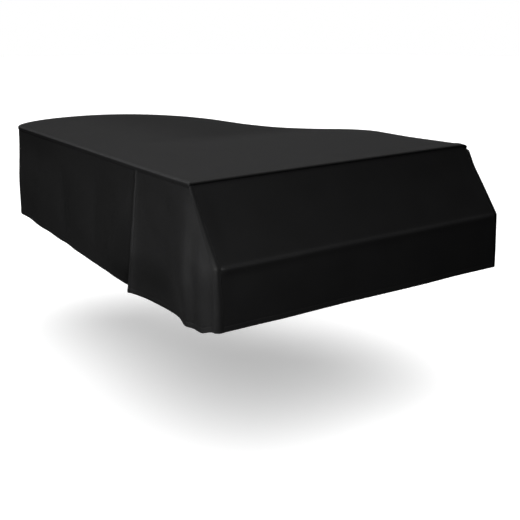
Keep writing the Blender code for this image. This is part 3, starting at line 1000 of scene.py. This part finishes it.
# %% The face of the rear skirt
REAR_STEP = 0.0095
REAR_ROWS = 46
HIDDEN_ROWS = (-0.017, -0.010, -0.004)       # under the rolled edge
REAR_DEPTH = 0.49                            # a middling height from the rolled edge to the hem
above_hem = 1 - HEM_ROWS[::-1] / REAR_DEPTH
open_rows = np.linspace(0, above_hem[0], REAR_ROWS)[:-1]
rear_depth = np.concatenate((HIDDEN_ROWS, open_rows, above_hem))[:, None]
rear_columns = int((SKIRT_END - SKIRT_START) / REAR_STEP)
rear_distance = np.linspace(SKIRT_START, SKIRT_END, rear_columns)[None]
rear_points = rear_face(rear_distance, rear_depth)
print(f"the skirt's grid has {len(rear_depth)} rows and {rear_columns} columns")

# %% [markdown]
# A painted shadow darkens the skirt in a line where it comes out from under the rolled edge.
# Painted shade darkens its upper part away from the slit, and beside the slit painted shade
# darkens it too, all the more so low down. Its hem is rubbed pale.

# %% Wear and painted shade of the rear skirt, then sew it
# Painted shadow in a line just under the rolled edge.
SIDE_SHADOW = -1.0
SEAM_PLACE = (0.001, 0.0045)   # how far down the painted shadow is, and how wide
# Painted shade over the upper part of the skirt, away from the slit.
UPPER_SHADE = -1.20
UPPER_REACH = 0.6              # share of the depth in which the painted shade of the upper part fades
SLIT_REACH = 0.14              # share of the skirt's length that counts as beside the slit
# Painted shade beside the slit, more of it low down.
SLIT_SHADE = (
    # shade    run    start: painted shade, and the shares of the depth in which it darkens, as for rise
    (-0.85,   0.50,  0.20),
    (-0.85,   0.16,  0.76),
)
HEM_CLEAR = 0.008              # the hem's own fold stays pale up to here
rear_height = (1 - rear_depth) * REAR_DEPTH
rear_share = (rear_distance - SKIRT_START) / (SKIRT_END - SKIRT_START)
# The hem's real wear, then painted shadow under the rim and painted shade high up and beside the slit.
rear_wear_and_painting = bell(rear_height, 0.0, HEM_RUBBED) + SIDE_SHADOW * bell(REAR_DEPTH * rear_depth, *SEAM_PLACE)
upper = UPPER_SHADE * fade(rear_depth, UPPER_REACH)
rear_wear_and_painting = rear_wear_and_painting + upper * rise(rear_share, SLIT_REACH, start=SLIT_REACH)
slit_painted_shade = sum(worn * rise(rear_depth, run, start) for worn, run, start in SLIT_SHADE)
rear_wear_and_painting = rear_wear_and_painting + slit_painted_shade * fade(rear_share, SLIT_REACH) * (rear_height > HEM_CLEAR)
cover_rear = sew_sheet("cover_rear_skirt", rear_points, hem_thickness(rear_height),
                       grid_lengths(rear_points), rear_wear_and_painting)
rear_normals = grid_normals(rear_points, ring=False)
hem_row = -1 - int(np.argmin(abs(HEM_ROWS - HEM_HEIGHT)))
rear_stitches = sew_lines("cover_rear_stitching", [(rear_points[hem_row], rear_normals[hem_row])])
dress(cover_rear, rear_stitches, "rear_skirt", skirt_finish)

# %% [markdown]
# ## The section of the front
#
# In front of the lid the cloth slopes down over the music desk's ledge to the arms, bends there,
# and hangs in front of the keyboard. The front piece and both flaps follow this section, so that
# they meet all the way down. It is a line, an arc that touches it, and a second line.

# %% Line, arc, line
CREASE_RUN = 0.208             # forward from the lid's edge to the crease
CREASE_DROP = (0.281, 0.2828)  # down to the crease, at the bass and at the treble end
CREASE_RADIUS = 0.018
HEM_RUN = 0.215
HEM_DROP = (0.529, 0.537)
LIFT_DOWN = 0.12               # the raised edge lifts the cloth under it down to here


def front_section(place, across):
    """How far forward and down, and how steep; 0 to 1 is the slope, to 2 the bend, to 3 the drop."""
    crease = np.stack(np.broadcast_arrays(CREASE_RUN, mix(*CREASE_DROP, across)), axis=-1)
    hem = np.stack(np.broadcast_arrays(HEM_RUN, mix(*HEM_DROP, across)), axis=-1)
    slope_angle = np.arctan2(crease[..., 1], crease[..., 0])
    drop_angle = np.arctan2(hem[..., 1] - crease[..., 1], hem[..., 0] - crease[..., 0])
    tangent = CREASE_RADIUS * np.tan((drop_angle - slope_angle) / 2)
    slope_way = np.stack((np.cos(slope_angle), np.sin(slope_angle)), axis=-1)
    drop_way = np.stack((np.cos(drop_angle), np.sin(drop_angle)), axis=-1)
    slope_end = crease - slope_way * tangent[..., None]
    angle = mix(slope_angle, drop_angle, np.clip(place - 1, 0, 1))
    bend = np.stack((np.sin(angle) - np.sin(slope_angle), np.cos(slope_angle) - np.cos(angle)), axis=-1)
    drop_start = slope_end + CREASE_RADIUS * bend
    on_drop = np.clip(place - 2, 0, 1)[..., None]
    fall = np.linalg.norm(hem - crease, axis=-1) - tangent
    point = slope_end * np.clip(place, 0, 1)[..., None] + (drop_start - slope_end)
    point = point + drop_way * (fall[..., None] * on_drop)
    return point[..., 0], point[..., 1], angle


def upper_lift(across, behind, down):
    """The hanging cloth starts as high as the raised edge above it, and soon falls back."""
    return front_lift(across, np.maximum(behind, 0.0)) * fade(down, LIFT_DOWN)


def front_point(place, across, layer):
    """The section moved out by a layer, square to itself: Y and Z."""
    forward, down, angle = front_section(place, across)
    height = upper_lift(across, 0.0, down) - down + layer * np.cos(angle)
    return FRONT_EDGE_Y - forward - layer * np.sin(angle), height


# %% Rows that the front and the flaps share
SLOPE_ROWS = 38
BEND_ROWS = 12
DROP_ROWS = 26
SLOPE_CROWDING = 1.15          # how much closer the rows are towards the bend, from above
DROP_CROWDING = 1.2            # and from below


def crowded(count, crowding):
    """Steps from 0 to 1 that get closer: one less a power of one less an even share."""
    return 1 - (1 - np.linspace(0, 1, count)) ** crowding


SLOPE_LENGTH = np.hypot(CREASE_RUN, CREASE_DROP[0])
DROP_LENGTH = HEM_DROP[0] - CREASE_DROP[0]
BEND_ANGLE = np.pi / 2 - np.arctan2(CREASE_DROP[0], CREASE_RUN)
first_place = TOP_EDGE / CREASE_DROP[0]
free_place = FREE_FROM / CREASE_DROP[0]
covered_rows = (first_place, (first_place + free_place) / 2)
slope_rows = mix(free_place, 1, crowded(SLOPE_ROWS, SLOPE_CROWDING))
slope_rows = np.concatenate((covered_rows, slope_rows))
bend_rows = np.linspace(1, 2, BEND_ROWS)[1:-1]
drop_end = 3 - HEM_ROWS[::-1] / DROP_LENGTH
drop_rows = mix(2, drop_end[0], np.linspace(0, 1, DROP_ROWS)[:-1] ** DROP_CROWDING)
drop_rows = np.concatenate((drop_rows, drop_end))
front_rows = np.concatenate((slope_rows, bend_rows, drop_rows))[:, None]
front_height = np.maximum(3 - front_rows, 0) * DROP_LENGTH
print(f"{len(front_rows)} rows from the rolled edge to the front hem")

# %% [markdown]
# ## How the side flaps hang
#
# Each flap hangs from the lid's edge between the slit and the front corner, turns the corner and
# laps over the front piece. Nothing holds it out at the bottom, so it opens into upright folds:
# one falls from the front corner of the lid and grows towards the hem. A fold is a bell curve
# across the cloth, wider on one side than on the other, and its place shifts between the top
# and the hem. On the treble side the cloth also stands out in a low shoulder just below the
# rolled edge, where the seam lets it go.

# %% Flare and folds of a flap
FLAP_HEMS = {"left": (0.0555, 0.017), "right": (0.050, 0.018)}     # at the slit and at the corner
FLAP_REACH = {"left": 5.0, "right": 2.2}                          # how far the flare dies away
FLAP_BELLY = {"left": 0.018, "right": 0.008}                      # at the level crease
FLAP_FOLDS = {
    "left": (
        # at_top   at_hem   behind   before   out   growth  flat: its middle, its widths on both
        # sides, how far it stands out, how it grows, and whether its upper front is flat
        (0.012,   -0.066,   0.090,   0.052,   0.038,  0.90,  1.0),
        (-0.115,  -0.143,   0.034,   0.038,   0.0150, 2.20,  0.0),
        (-0.060,  -0.077,   0.026,   0.026,  -0.014,  2.20,  0.0),
    ),
    "right": (
        (-0.010,  -0.070,   0.060,   0.060,   0.028,  1.40,  0.0),
        (0.180,    0.200,   0.090,   0.090,  -0.006,  1.40,  0.0),
        (0.060,    0.050,   0.050,   0.050,   0.006,  1.40,  0.0),
    ),
}
FOLD_OPEN = 1.6                # a fold is this much wider at the top than at the hem
FLAT_ROUND = 0.014
FLAT_ENDS = (0.50, 0.80)       # the flat front turns into a rounded one between these depths
SLIT_SWING = 1.9               # the slit swings forward by this much of the belly
BELLY_FULL = 0.35              # the belly is full this share of the way from corner to slit
SHOULDER = {"left": 0.0, "right": 0.012}
SHOULDER_GROWS = 0.005         # it stands out within this much depth,
SHOULDER_GOES = 0.080          # is gone again within this much,
SHOULDER_REACH = 0.150         # and ends this far behind the lid's front edge
FLAP_UNEVEN = (0.0010, 0.22)   # how far the unevenness stands out, and how long its waves are
FLAP_SEED = {"left": 5, "right": 6}
UNEVEN_DOWN = 0.1              # it has grown to its full height this far down
FLAP_EXTRA = 0.016             # a flap hangs this much lower than the front
FRONT_LAP = 0.010
CORNER_FADE = 0.060
HEM_FADE = 0.01                # the relief of the hem fades this close to the corner


def hung_share(down):
    """0 at the end of the rolled edge and 1 at the front hem."""
    return np.maximum(down - FREE_FROM, 0.0) / (HEM_DROP[0] - FREE_FROM)


def flap_out(side, behind, down):
    """Flare that dies away towards the corner, a belly, folds that grow downwards, a shoulder."""
    share = hung_share(down)
    at_slit, at_corner = FLAP_HEMS[side]
    from_corner = np.maximum((behind + HEM_RUN) / (SLIT_HEM + HEM_RUN), 0.0)
    flare = mix(at_corner, at_slit, from_corner ** FLAP_REACH[side]) * hang(np.minimum(share, 1.0))
    folds = FLAP_BELLY[side] * belly(share) * rise(from_corner, BELLY_FULL)
    forward = np.interp(down, (0.0, CREASE_DROP[0], HEM_DROP[0]), (0.0, CREASE_RUN, HEM_RUN))
    upper = ease((FLAT_ENDS[1] - share) / (FLAT_ENDS[1] - FLAT_ENDS[0]))
    for at_top, at_hem, back, front, out, growth, flat in FLAP_FOLDS[side]:
        middle = mix(at_top, at_hem, share)
        width = np.where(behind > middle, back, front) * mix(FOLD_OPEN, 1.0, share)
        before = middle - behind
        to_edge = np.maximum(middle, 0.0) + forward + FLAT_ROUND
        slanted = 1 - (before + np.hypot(before, FLAT_ROUND)) / 2 / to_edge
        slanted = np.clip(slanted, 0.0, 1.0) * bell(np.maximum(-before, 0.0), 0.0, width)
        shape = mix(bell(behind, middle, width), slanted, flat * upper)
        folds = folds + out * share ** growth * shape
    below = down - FREE_FROM
    shoulder = SHOULDER[side] * rise(below, SHOULDER_GROWS) * fade(below, SHOULDER_GOES)
    return flare + folds + shoulder * fade(behind, SHOULDER_REACH)


def corner_at(side, place):
    """Where a flap turns the front corner: its face across, its Y, and its radius."""
    across = np.array(0.0 if side == "left" else 1.0)
    y_front, _ = front_point(place, across, OVER_LAYER)
    _, down, _ = front_section(place, across)
    radius = mix(*CORNER_RADIUS[side], down / HEM_DROP[0])
    y_turn = y_front + radius
    return HALF_WIDTH + OVER_LAYER + flap_out(side, y_turn - FRONT_EDGE_Y, down), y_turn, radius


def flap_face(side, place, column):
    """Columns 0 to 1 run from the slit to the corner, to 2 round it, to 3 over the front."""
    across = np.array(0.0 if side == "left" else 1.0)
    _, down, _ = front_section(place, across)
    _, z_front = front_point(place, across, OVER_LAYER)
    x_corner, y_turn, radius = corner_at(side, place)
    y_slit = FRONT_EDGE_Y + mix(SLIT_TOP, SLIT_HEM, down / HEM_DROP[0])
    y_slit = y_slit - SLIT_SWING * FLAP_BELLY[side] * belly(hung_share(down))
    y = mix(y_slit, y_turn, np.clip(column, 0, 1))
    from_turn = y - y_turn
    longer = FLAP_EXTRA * rise(from_turn, CORNER_FADE) * rise(down, HEM_DROP[0])
    behind = y - FRONT_EDGE_Y
    soft = rise(down, UNEVEN_DOWN) * rise(from_turn, CORNER_FADE)
    high, wave_length = FLAP_UNEVEN
    x = HALF_WIDTH + OVER_LAYER + flap_out(side, behind, down)
    x = x + high * soft * uneven(y, down, wave_length, seed=FLAP_SEED[side])
    x = x + hem_relief(front_height, y) * rise(from_turn, HEM_FADE)
    turn = np.clip(column - 1, 0, 1) * np.pi / 2
    x_turned = x_corner - radius + radius * np.cos(turn) - FRONT_LAP * np.clip(column - 2, 0, 1)
    x = np.where(column <= 1, x, x_turned)
    y = np.where(column <= 1, y, y_turn - radius * np.sin(turn))
    z_side = upper_lift(across, behind, down) - down
    z = mix(z_side, z_front, np.sin(turn) ** 2) - longer
    return np.stack(np.broadcast_arrays(x if side == "right" else -x, y, z), axis=-1)


# %% [markdown]
# ## The front piece
#
# The front piece is tight between its two sewn edges and sags a little in between. Where it
# bends over the arms the cloth is drawn up into a low ridge, which catches the light from above,
# and a painted highlight along it makes it one soft line across the cover. Below it hang a few
# shallow upright waves.

# %% The face of the front
FRONT_SAG = 0.005
FRONT_EDGES = 0.060            # share of the width at each end that the seams hold flat
FRONT_UNEVEN = (0.0008, 0.20)  # how far the unevenness stands out, and how long its waves are
FRONT_UNEVEN_DOWN = 0.08       # it has grown to its full height this far down
FRONT_WAVES = (
    # across   width    out
    (0.180,    0.090,   0.003),
    (0.420,    0.110,  -0.003),
    (0.660,    0.100,   0.003),
    (0.860,    0.070,  -0.002),
)
RIDGE_OUT = 0.0055
RIDGE_WIDTHS = (0.010, 0.020)  # above and below
RIDGE_BELOW = 0.004            # the ridge lies this far below the middle of the bend
RIDGE_ENDS = 0.02              # share of the width in which it dies away at each end


def past_ridge(place):
    """Metres down the section from the ridge, along the slope, the bend and the drop."""
    bend = CREASE_RADIUS * BEND_ANGLE
    walked = (np.minimum(place, 1.0) - 1.0) * SLOPE_LENGTH + (np.clip(place - 1, 0, 1) - 0.5) * bend
    return walked + np.maximum(place - 2.0, 0.0) * DROP_LENGTH - RIDGE_BELOW


def front_face(place, across):
    """The section one layer out, with sag on the slope, a ridge at the bend and waves below."""
    left, _, left_radius = corner_at("left", place)
    right, _, right_radius = corner_at("right", place)
    x = mix(-left + left_radius + CLOTH / 2, right - right_radius - CLOTH / 2, across)
    y, z = front_point(place, across, UNDER_LAYER)
    _, down, angle = front_section(place, across)
    free = rise(across, FRONT_EDGES) * rise(1 - across, FRONT_EDGES)
    waves = 0.0
    for middle, width, out in FRONT_WAVES:
        waves = waves + out * bell(across, middle, width)
    out = waves * rise(place, 2, start=1) * free
    out = out - FRONT_SAG * np.sin(np.pi * np.minimum(place, 1.0)) * free
    ridge_width = np.where(past_ridge(place) < 0, *RIDGE_WIDTHS)
    ridge = RIDGE_OUT * bell(past_ridge(place), 0.0, ridge_width)
    out = out + ridge * rise(across, RIDGE_ENDS) * rise(1 - across, RIDGE_ENDS)
    high, wave_length = FRONT_UNEVEN
    out = out + high * uneven(x, down, wave_length, seed=8) * free * rise(down, FRONT_UNEVEN_DOWN)
    out = out + hem_relief(front_height, x)
    return np.stack(np.broadcast_arrays(x, y - out * np.sin(angle), z + out * np.cos(angle)), axis=-1)


# %% Sew the front
FRONT_COLUMNS = 170
# Painted highlight along the ridge at the bend.
RIDGE_HIGHLIGHT = 1.8
RIDGE_HIGHLIGHT_PLACE = (-0.003, 0.007)  # the painted highlight: how far past the ridge, and how wide
SEAM_SHADE = -1.3              # painted shade: the slope is darker where it comes out of the seam
SEAM_WIDTH = 0.004
front_across = np.linspace(0, 1, FRONT_COLUMNS)[None]
front_points = front_face(front_rows, front_across)[:, ::-1]
# The hem's real wear, the ridge's painted highlight and painted shade below the seam.
ridge_highlight = RIDGE_HIGHLIGHT * bell(past_ridge(front_rows), *RIDGE_HIGHLIGHT_PLACE)
front_wear_and_painting = np.maximum(bell(front_height, 0.0, HEM_RUBBED), ridge_highlight)
front_wear_and_painting = front_wear_and_painting + SEAM_SHADE * bell(front_rows * CREASE_DROP[0], FREE_FROM / 2, SEAM_WIDTH)
front_wear_and_painting = np.broadcast_to(front_wear_and_painting, front_points.shape[:2])
cover_front = sew_sheet("cover_front", front_points, hem_thickness(front_height),
                        grid_lengths(front_points), front_wear_and_painting)
front_normals = grid_normals(front_points, ring=False)
front_stitches = sew_lines("cover_front_stitching", [(front_points[hem_row], front_normals[hem_row])])
dress(cover_front, front_stitches, "front_panel", front_finish)

# %% [markdown]
# ## The side flaps
#
# Both flaps come from the same function. The free edge at the slit is folded back on itself and
# stitched, so it stands a little proud and reads as a thin line. The stitches along the lap hold
# the flap to the front piece. A painted highlight runs as a pale band beside the slit, and
# painted highlights lighten the fold from the corner where it stands out. Painted shade darkens
# the flap low down towards the slit and the corner where it turns along the slope, and a painted
# shadow runs in a line below the rim.

# %% Columns of a flap
SLIT_BEAD = 0.0020             # how proud the folded edge at the slit stands
SLIT_FOLD = 0.014              # how wide it is
BEAD_STEP = 0.004              # it stands out within this width
BEAD_DOWN = 0.1                # and within this share of the slope
SIDE_COLUMNS = 80
SIDE_CROWDING = 1.25           # they get this much closer towards the corner
CORNER_COLUMNS = 11
FLAP_WIDTH = SLIT_TOP + CREASE_RUN
slit_columns = np.array((0.0, 0.0012, 0.003, 0.006, 0.009, 0.0115, 0.014, 0.0155, 0.018)) / FLAP_WIDTH
side_columns = mix(slit_columns[-1], 1.0, crowded(SIDE_COLUMNS, SIDE_CROWDING)[1:])
corner_columns = 1 + np.linspace(0, 1, CORNER_COLUMNS)[1:]
lap_columns = 2 + np.array((0.25, 0.5, 0.72, 0.9, 1.0))
flap_columns = np.concatenate((slit_columns, side_columns, corner_columns, lap_columns))[None]
LAP_STITCH = len(flap_columns[0]) - 3
SLIT_STITCH = int(np.argmin(abs(slit_columns * FLAP_WIDTH - SLIT_FOLD)))
print(f"{flap_columns.size} columns from the slit to the end of the lap")

# %% Wear of a flap, and the light and shade painted on it
# Painted highlight in a pale band beside the slit.
SLIT_HIGHLIGHT = 1.0
SLIT_BAND = (0.024, 0.018)     # the painted highlight: how far from the slit, and how wide
# Painted shade where the corner turns along the slope.
CORNER_SHADE = -0.7
CORNER_BAND = (1.5, 0.3)       # the middle of the corner's columns, and how many of them it takes
SLOPE_END = 1.1                # the corner's painted shade ends just past the slope,
SLOPE_FADE = 0.3               # and fades within this much of it at both ends
CORNER_EDGE = 0.05             # the painted shadow below the rim stops this close to the corner
# Painted highlights near the corner, and painted shade low down towards the slit.
FLAP_PAINTED_LIGHT = (
    # column   down    wide    high   painted: highlight above zero, shade below
    (0.97,    0.120,  0.10,   0.080,  1.0),
    (0.92,    0.275,  0.12,   0.075,  0.9),
    (0.80,    0.220,  0.10,   0.060,  0.7),
    (0.35,    0.420,  0.35,   0.090, -1.1),
)
flap_down = np.interp(front_rows, (0, 1, 2, 3), (0, CREASE_DROP[0], CREASE_DROP[0], HEM_DROP[0]))


def flap_wear_and_painting(column):
    """The paler of the hem's wear and the slit's painted highlight, then painted bells, and painted
    shade and shadow.
    """
    slit = SLIT_HIGHLIGHT * bell(column * FLAP_WIDTH, *SLIT_BAND)
    worn = np.maximum(bell(front_height, 0.0, HEM_RUBBED), slit)
    for place, depth, wide, high, much in FLAP_PAINTED_LIGHT:
        worn = worn + much * bell(column, place, wide) * bell(flap_down, depth, high)
    on_slope = rise(front_rows, SLOPE_FADE) * rise(SLOPE_END - front_rows, SLOPE_FADE)
    worn = worn + CORNER_SHADE * bell(column, *CORNER_BAND) * on_slope
    below_edge = front_rows * CREASE_DROP[0] - FREE_FROM
    return worn + SIDE_SHADOW * bell(below_edge, *SEAM_PLACE) * rise(1 - column, CORNER_EDGE)


# %% Sew both flaps
for side in ("left", "right"):
    points = flap_face(side, front_rows, flap_columns)
    if side == "left":
        points = points[:, ::-1]
    normals = grid_normals(points, ring=False)
    column = flap_columns[:, ::-1] if side == "left" else flap_columns
    bead = SLIT_BEAD * rise(SLIT_FOLD - column * FLAP_WIDTH, BEAD_STEP) * rise(front_rows, BEAD_DOWN)
    points = points + normals * bead[..., None]
    flap = sew_sheet(f"cover_{side}_flap", points, hem_thickness(front_height) + bead,
                     grid_lengths(points), flap_wear_and_painting(column))
    lap, slit = LAP_STITCH, SLIT_STITCH
    if side == "left":
        lap, slit = -1 - lap, -1 - slit
    rows = slice(3, hem_row)
    stitches = sew_lines(f"cover_{side}_flap_stitching", [
        (points[hem_row], normals[hem_row]),
        (points[rows, lap], normals[rows, lap]),
        (points[rows, slit], normals[rows, slit]),
    ])
    dress(flap, stitches, f"{side}_side_flap", flap_finish)

# %% [markdown]
# ## Floor, backdrop and light
#
# The cover is shown as if it hung on the instrument, so the floor lies where the instrument's
# feet would stand. A big pale disc is the floor, and a large white dome is the backdrop. Both
# are seen by the camera but send no light back, so that the black cloth is lit by the lamps
# alone, and a soft lamp of its own gives the floor its shadow.

# %% Floor
FLOOR_DROP = 1.17              # from the lid to the floor
FLOOR_RADIUS = 30.0
FLOOR_GLOW = 0.48              # its own light, over which the shadow falls
SPECKLE_SIZE = 0.5
SKY_STRENGTH = 0.002


def disc(name, radius, height, sides=96):
    """A flat many-sided plate facing up: points on a circle joined to its middle."""
    turn = 2 * np.pi * np.arange(sides) / sides
    rim = np.stack((radius * np.cos(turn), radius * np.sin(turn), np.full(sides, height)), axis=1)
    start = np.arange(sides)
    faces = np.stack((start, np.roll(start, -1), np.full(sides, sides)), axis=1)
    return mesh_piece(name, np.vstack((rim, (0.0, 0.0, height))), faces.tolist())


floor = disc("floor", FLOOR_RADIUS, -FLOOR_DROP)
floor_finish = Finish("pale floor")
speckle = floor_finish.noise(SPECKLE_SIZE, 3.0)
floor_finish.shade(Base_Color=(0.86, 0.86, 0.86, 1.0), Roughness=0.85 + speckle * 0.1,
                   Specular_IOR_Level=0.0,
                   Emission_Color=(1.0, 1.0, 1.0, 1.0), Emission_Strength=FLOOR_GLOW)
floor.data.materials.append(floor_finish.material)
floor.visible_diffuse = False
floor.visible_glossy = False
floor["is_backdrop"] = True

world = bpy.data.worlds.new("studio")
world.use_nodes = True
sky = world.node_tree.nodes["Background"]
sky.inputs["Color"].default_value = (1.0, 1.0, 1.0, 1.0)
sky.inputs["Strength"].default_value = SKY_STRENGTH
bpy.context.scene.world = world

# %% The backdrop
DOME_RADIUS = 28.0
DOME_STEPS = 48
DOME_TILTS = (-0.30, np.pi / 2 - 0.01)       # from below the floor to just short of the zenith
turn = np.linspace(0, 2 * np.pi, 2 * DOME_STEPS, endpoint=False)[None, :, None]
tilt = np.linspace(*DOME_TILTS, DOME_STEPS)[:, None, None]
dome_points = DOME_RADIUS * np.concatenate((np.cos(tilt) * np.cos(turn), np.cos(tilt) * np.sin(turn),
                                            np.sin(tilt) * np.ones_like(turn)), axis=2)
numbers = np.arange(dome_points.shape[0] * dome_points.shape[1]).reshape(dome_points.shape[:2])
dome_faces = grid_quads(np.hstack((numbers, numbers[:, :1]))).reshape(-1, 4).tolist()
dome_faces.append(numbers[-1].tolist())
dome = mesh_piece("backdrop", dome_points.reshape(-1, 3), dome_faces)
dome_finish = Finish("white backdrop")
dome_finish.shade(Base_Color=(0.0, 0.0, 0.0, 1.0),
                  Emission_Color=(1.0, 1.0, 1.0, 1.0), Emission_Strength=1.0)
dome.data.materials.append(dome_finish.material)
for ray in ("visible_diffuse", "visible_glossy", "visible_shadow"):
    setattr(dome, ray, False)
dome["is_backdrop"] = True
print("floor at", -FLOOR_DROP, "and backdrop", DOME_RADIUS, "m away")

# %% [markdown]
# Black cloth shows nothing but its lamps, so every part of it gets its own. The top has a wide
# lamp behind it, one above it and a window at its side. The front is lit from a window at the
# left, which stands close, so its light fades along the front, and the skirt by a stronger one
# in the same place. On the long bass side the flap and the skirt each have a wide lamp, and the
# skirt a weak one low down beside it. A small lamp brings out the front corner, and two more
# the treble side and the tail. Blender's light linking says which lamp reaches which piece, and
# gives the floor its own lamp.

# %% Which lamp lights what
def lit(*starts):
    """The objects whose names begin with one of the given words, as a collection."""
    lights = bpy.data.collections.new("lit " + " ".join(starts))
    for piece in bpy.data.objects:
        if piece.name.startswith(starts):
            lights.objects.link(piece)
    return lights


def aim(lamp, name, place, target, lights):
    """Stands a lamp at a place, turns it to a target, and says what it lights."""
    stand = bpy.data.objects.new(name, lamp)
    facing = (Vector(target) - Vector(place)).to_track_quat("-Z", "Y").to_matrix().to_4x4()
    stand.matrix_world = Matrix.Translation(place) @ facing
    stand.light_linking.receiver_collection = lights
    stand.visible_camera = False
    bpy.context.scene.collection.objects.link(stand)


def far_lamp(name, strength, width, *where):
    """A lamp so far away that it lights everything alike; width is its angle in the sky."""
    lamp = bpy.data.lights.new(name, "SUN")
    lamp.energy = strength
    lamp.angle = np.radians(width)
    aim(lamp, name, *where)


def near_lamp(name, watts, size, *where):
    """A soft rectangle that stands close, so its light fades across the cover."""
    lamp = bpy.data.lights.new(name, "AREA")
    lamp.shape = "RECTANGLE"
    lamp.size, lamp.size_y = size
    lamp.energy = watts
    aim(lamp, name, *where)


# %% Soft lamps
HERE = (0.0, 0.0, 0.0)
OVERHEAD = (0.0, 0.0, 8.0)
LEFT_WINDOW = ((1.2, 1.2), (-1.6, -3.2, 0.6), (-0.4, -0.8, -0.25))   # its size, its place, its target
BASS_SIDE = ((-8.0, 1.5, 2.0), HERE)
top = lit("cover_top")
front = lit("cover_front")
skirt = lit("cover_rear")
flaps = lit("cover_left", "cover_right")
hanging = lit("cover_rear", "cover_left", "cover_right")
far_lamp("sweep", 0.30, 40.0, (3.2, 5.0, 7.5), HERE, top)
far_lamp("ceiling", 0.62, 60.0, OVERHEAD, HERE, top)
near_lamp("side window", 24.8, (2.4, 1.6), (-3.2, -1.0, 0.7), (-0.76, -0.6, -0.25), top)
far_lamp("over the front", 0.30, 60.0, OVERHEAD, HERE, front)
near_lamp("window", 19.9, *LEFT_WINDOW, front)
near_lamp("skirt window", 28.0, *LEFT_WINDOW, skirt)
far_lamp("bass side", 0.68, 60.0, *BASS_SIDE, flaps)
far_lamp("skirt side", 0.52, 60.0, *BASS_SIDE, skirt)
near_lamp("low side", 0.25, (1.6, 0.5), (-1.65, 0.95, -1.0), (-0.78, 0.7, -0.4), skirt)
near_lamp("corner", 4.5, (0.5, 0.5), (-1.35, -1.65, 0.10), (-0.77, -0.90, -0.2), flaps)
near_lamp("treble side", 24.0, (2.5, 2.0), (4.0, 0.6, 1.0), (0.4, 0.1, -0.2), hanging)
far_lamp("behind the tail", 0.85, 50.0, (3.5, 8.0, 3.0), HERE, hanging)
far_lamp("floor lamp", 3.5, 95.0, (-0.5, -1.5, 8.0), HERE, lit("floor"))
bpy.context.scene.view_settings.view_transform = "Standard"
print("lamps:", [lamp.name for lamp in bpy.data.lights])

# %% [markdown]
# ## Last step
#
# How far the finished cover stands proud of the box of the solids is printed.

# %% Print how far the cover stands proud of the solids
low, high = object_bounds()
proud = (*(cad_low - low), *(high - cad_high))
print("proud of the solids, in mm:", [round(1000 * value, 1) for value in proud])
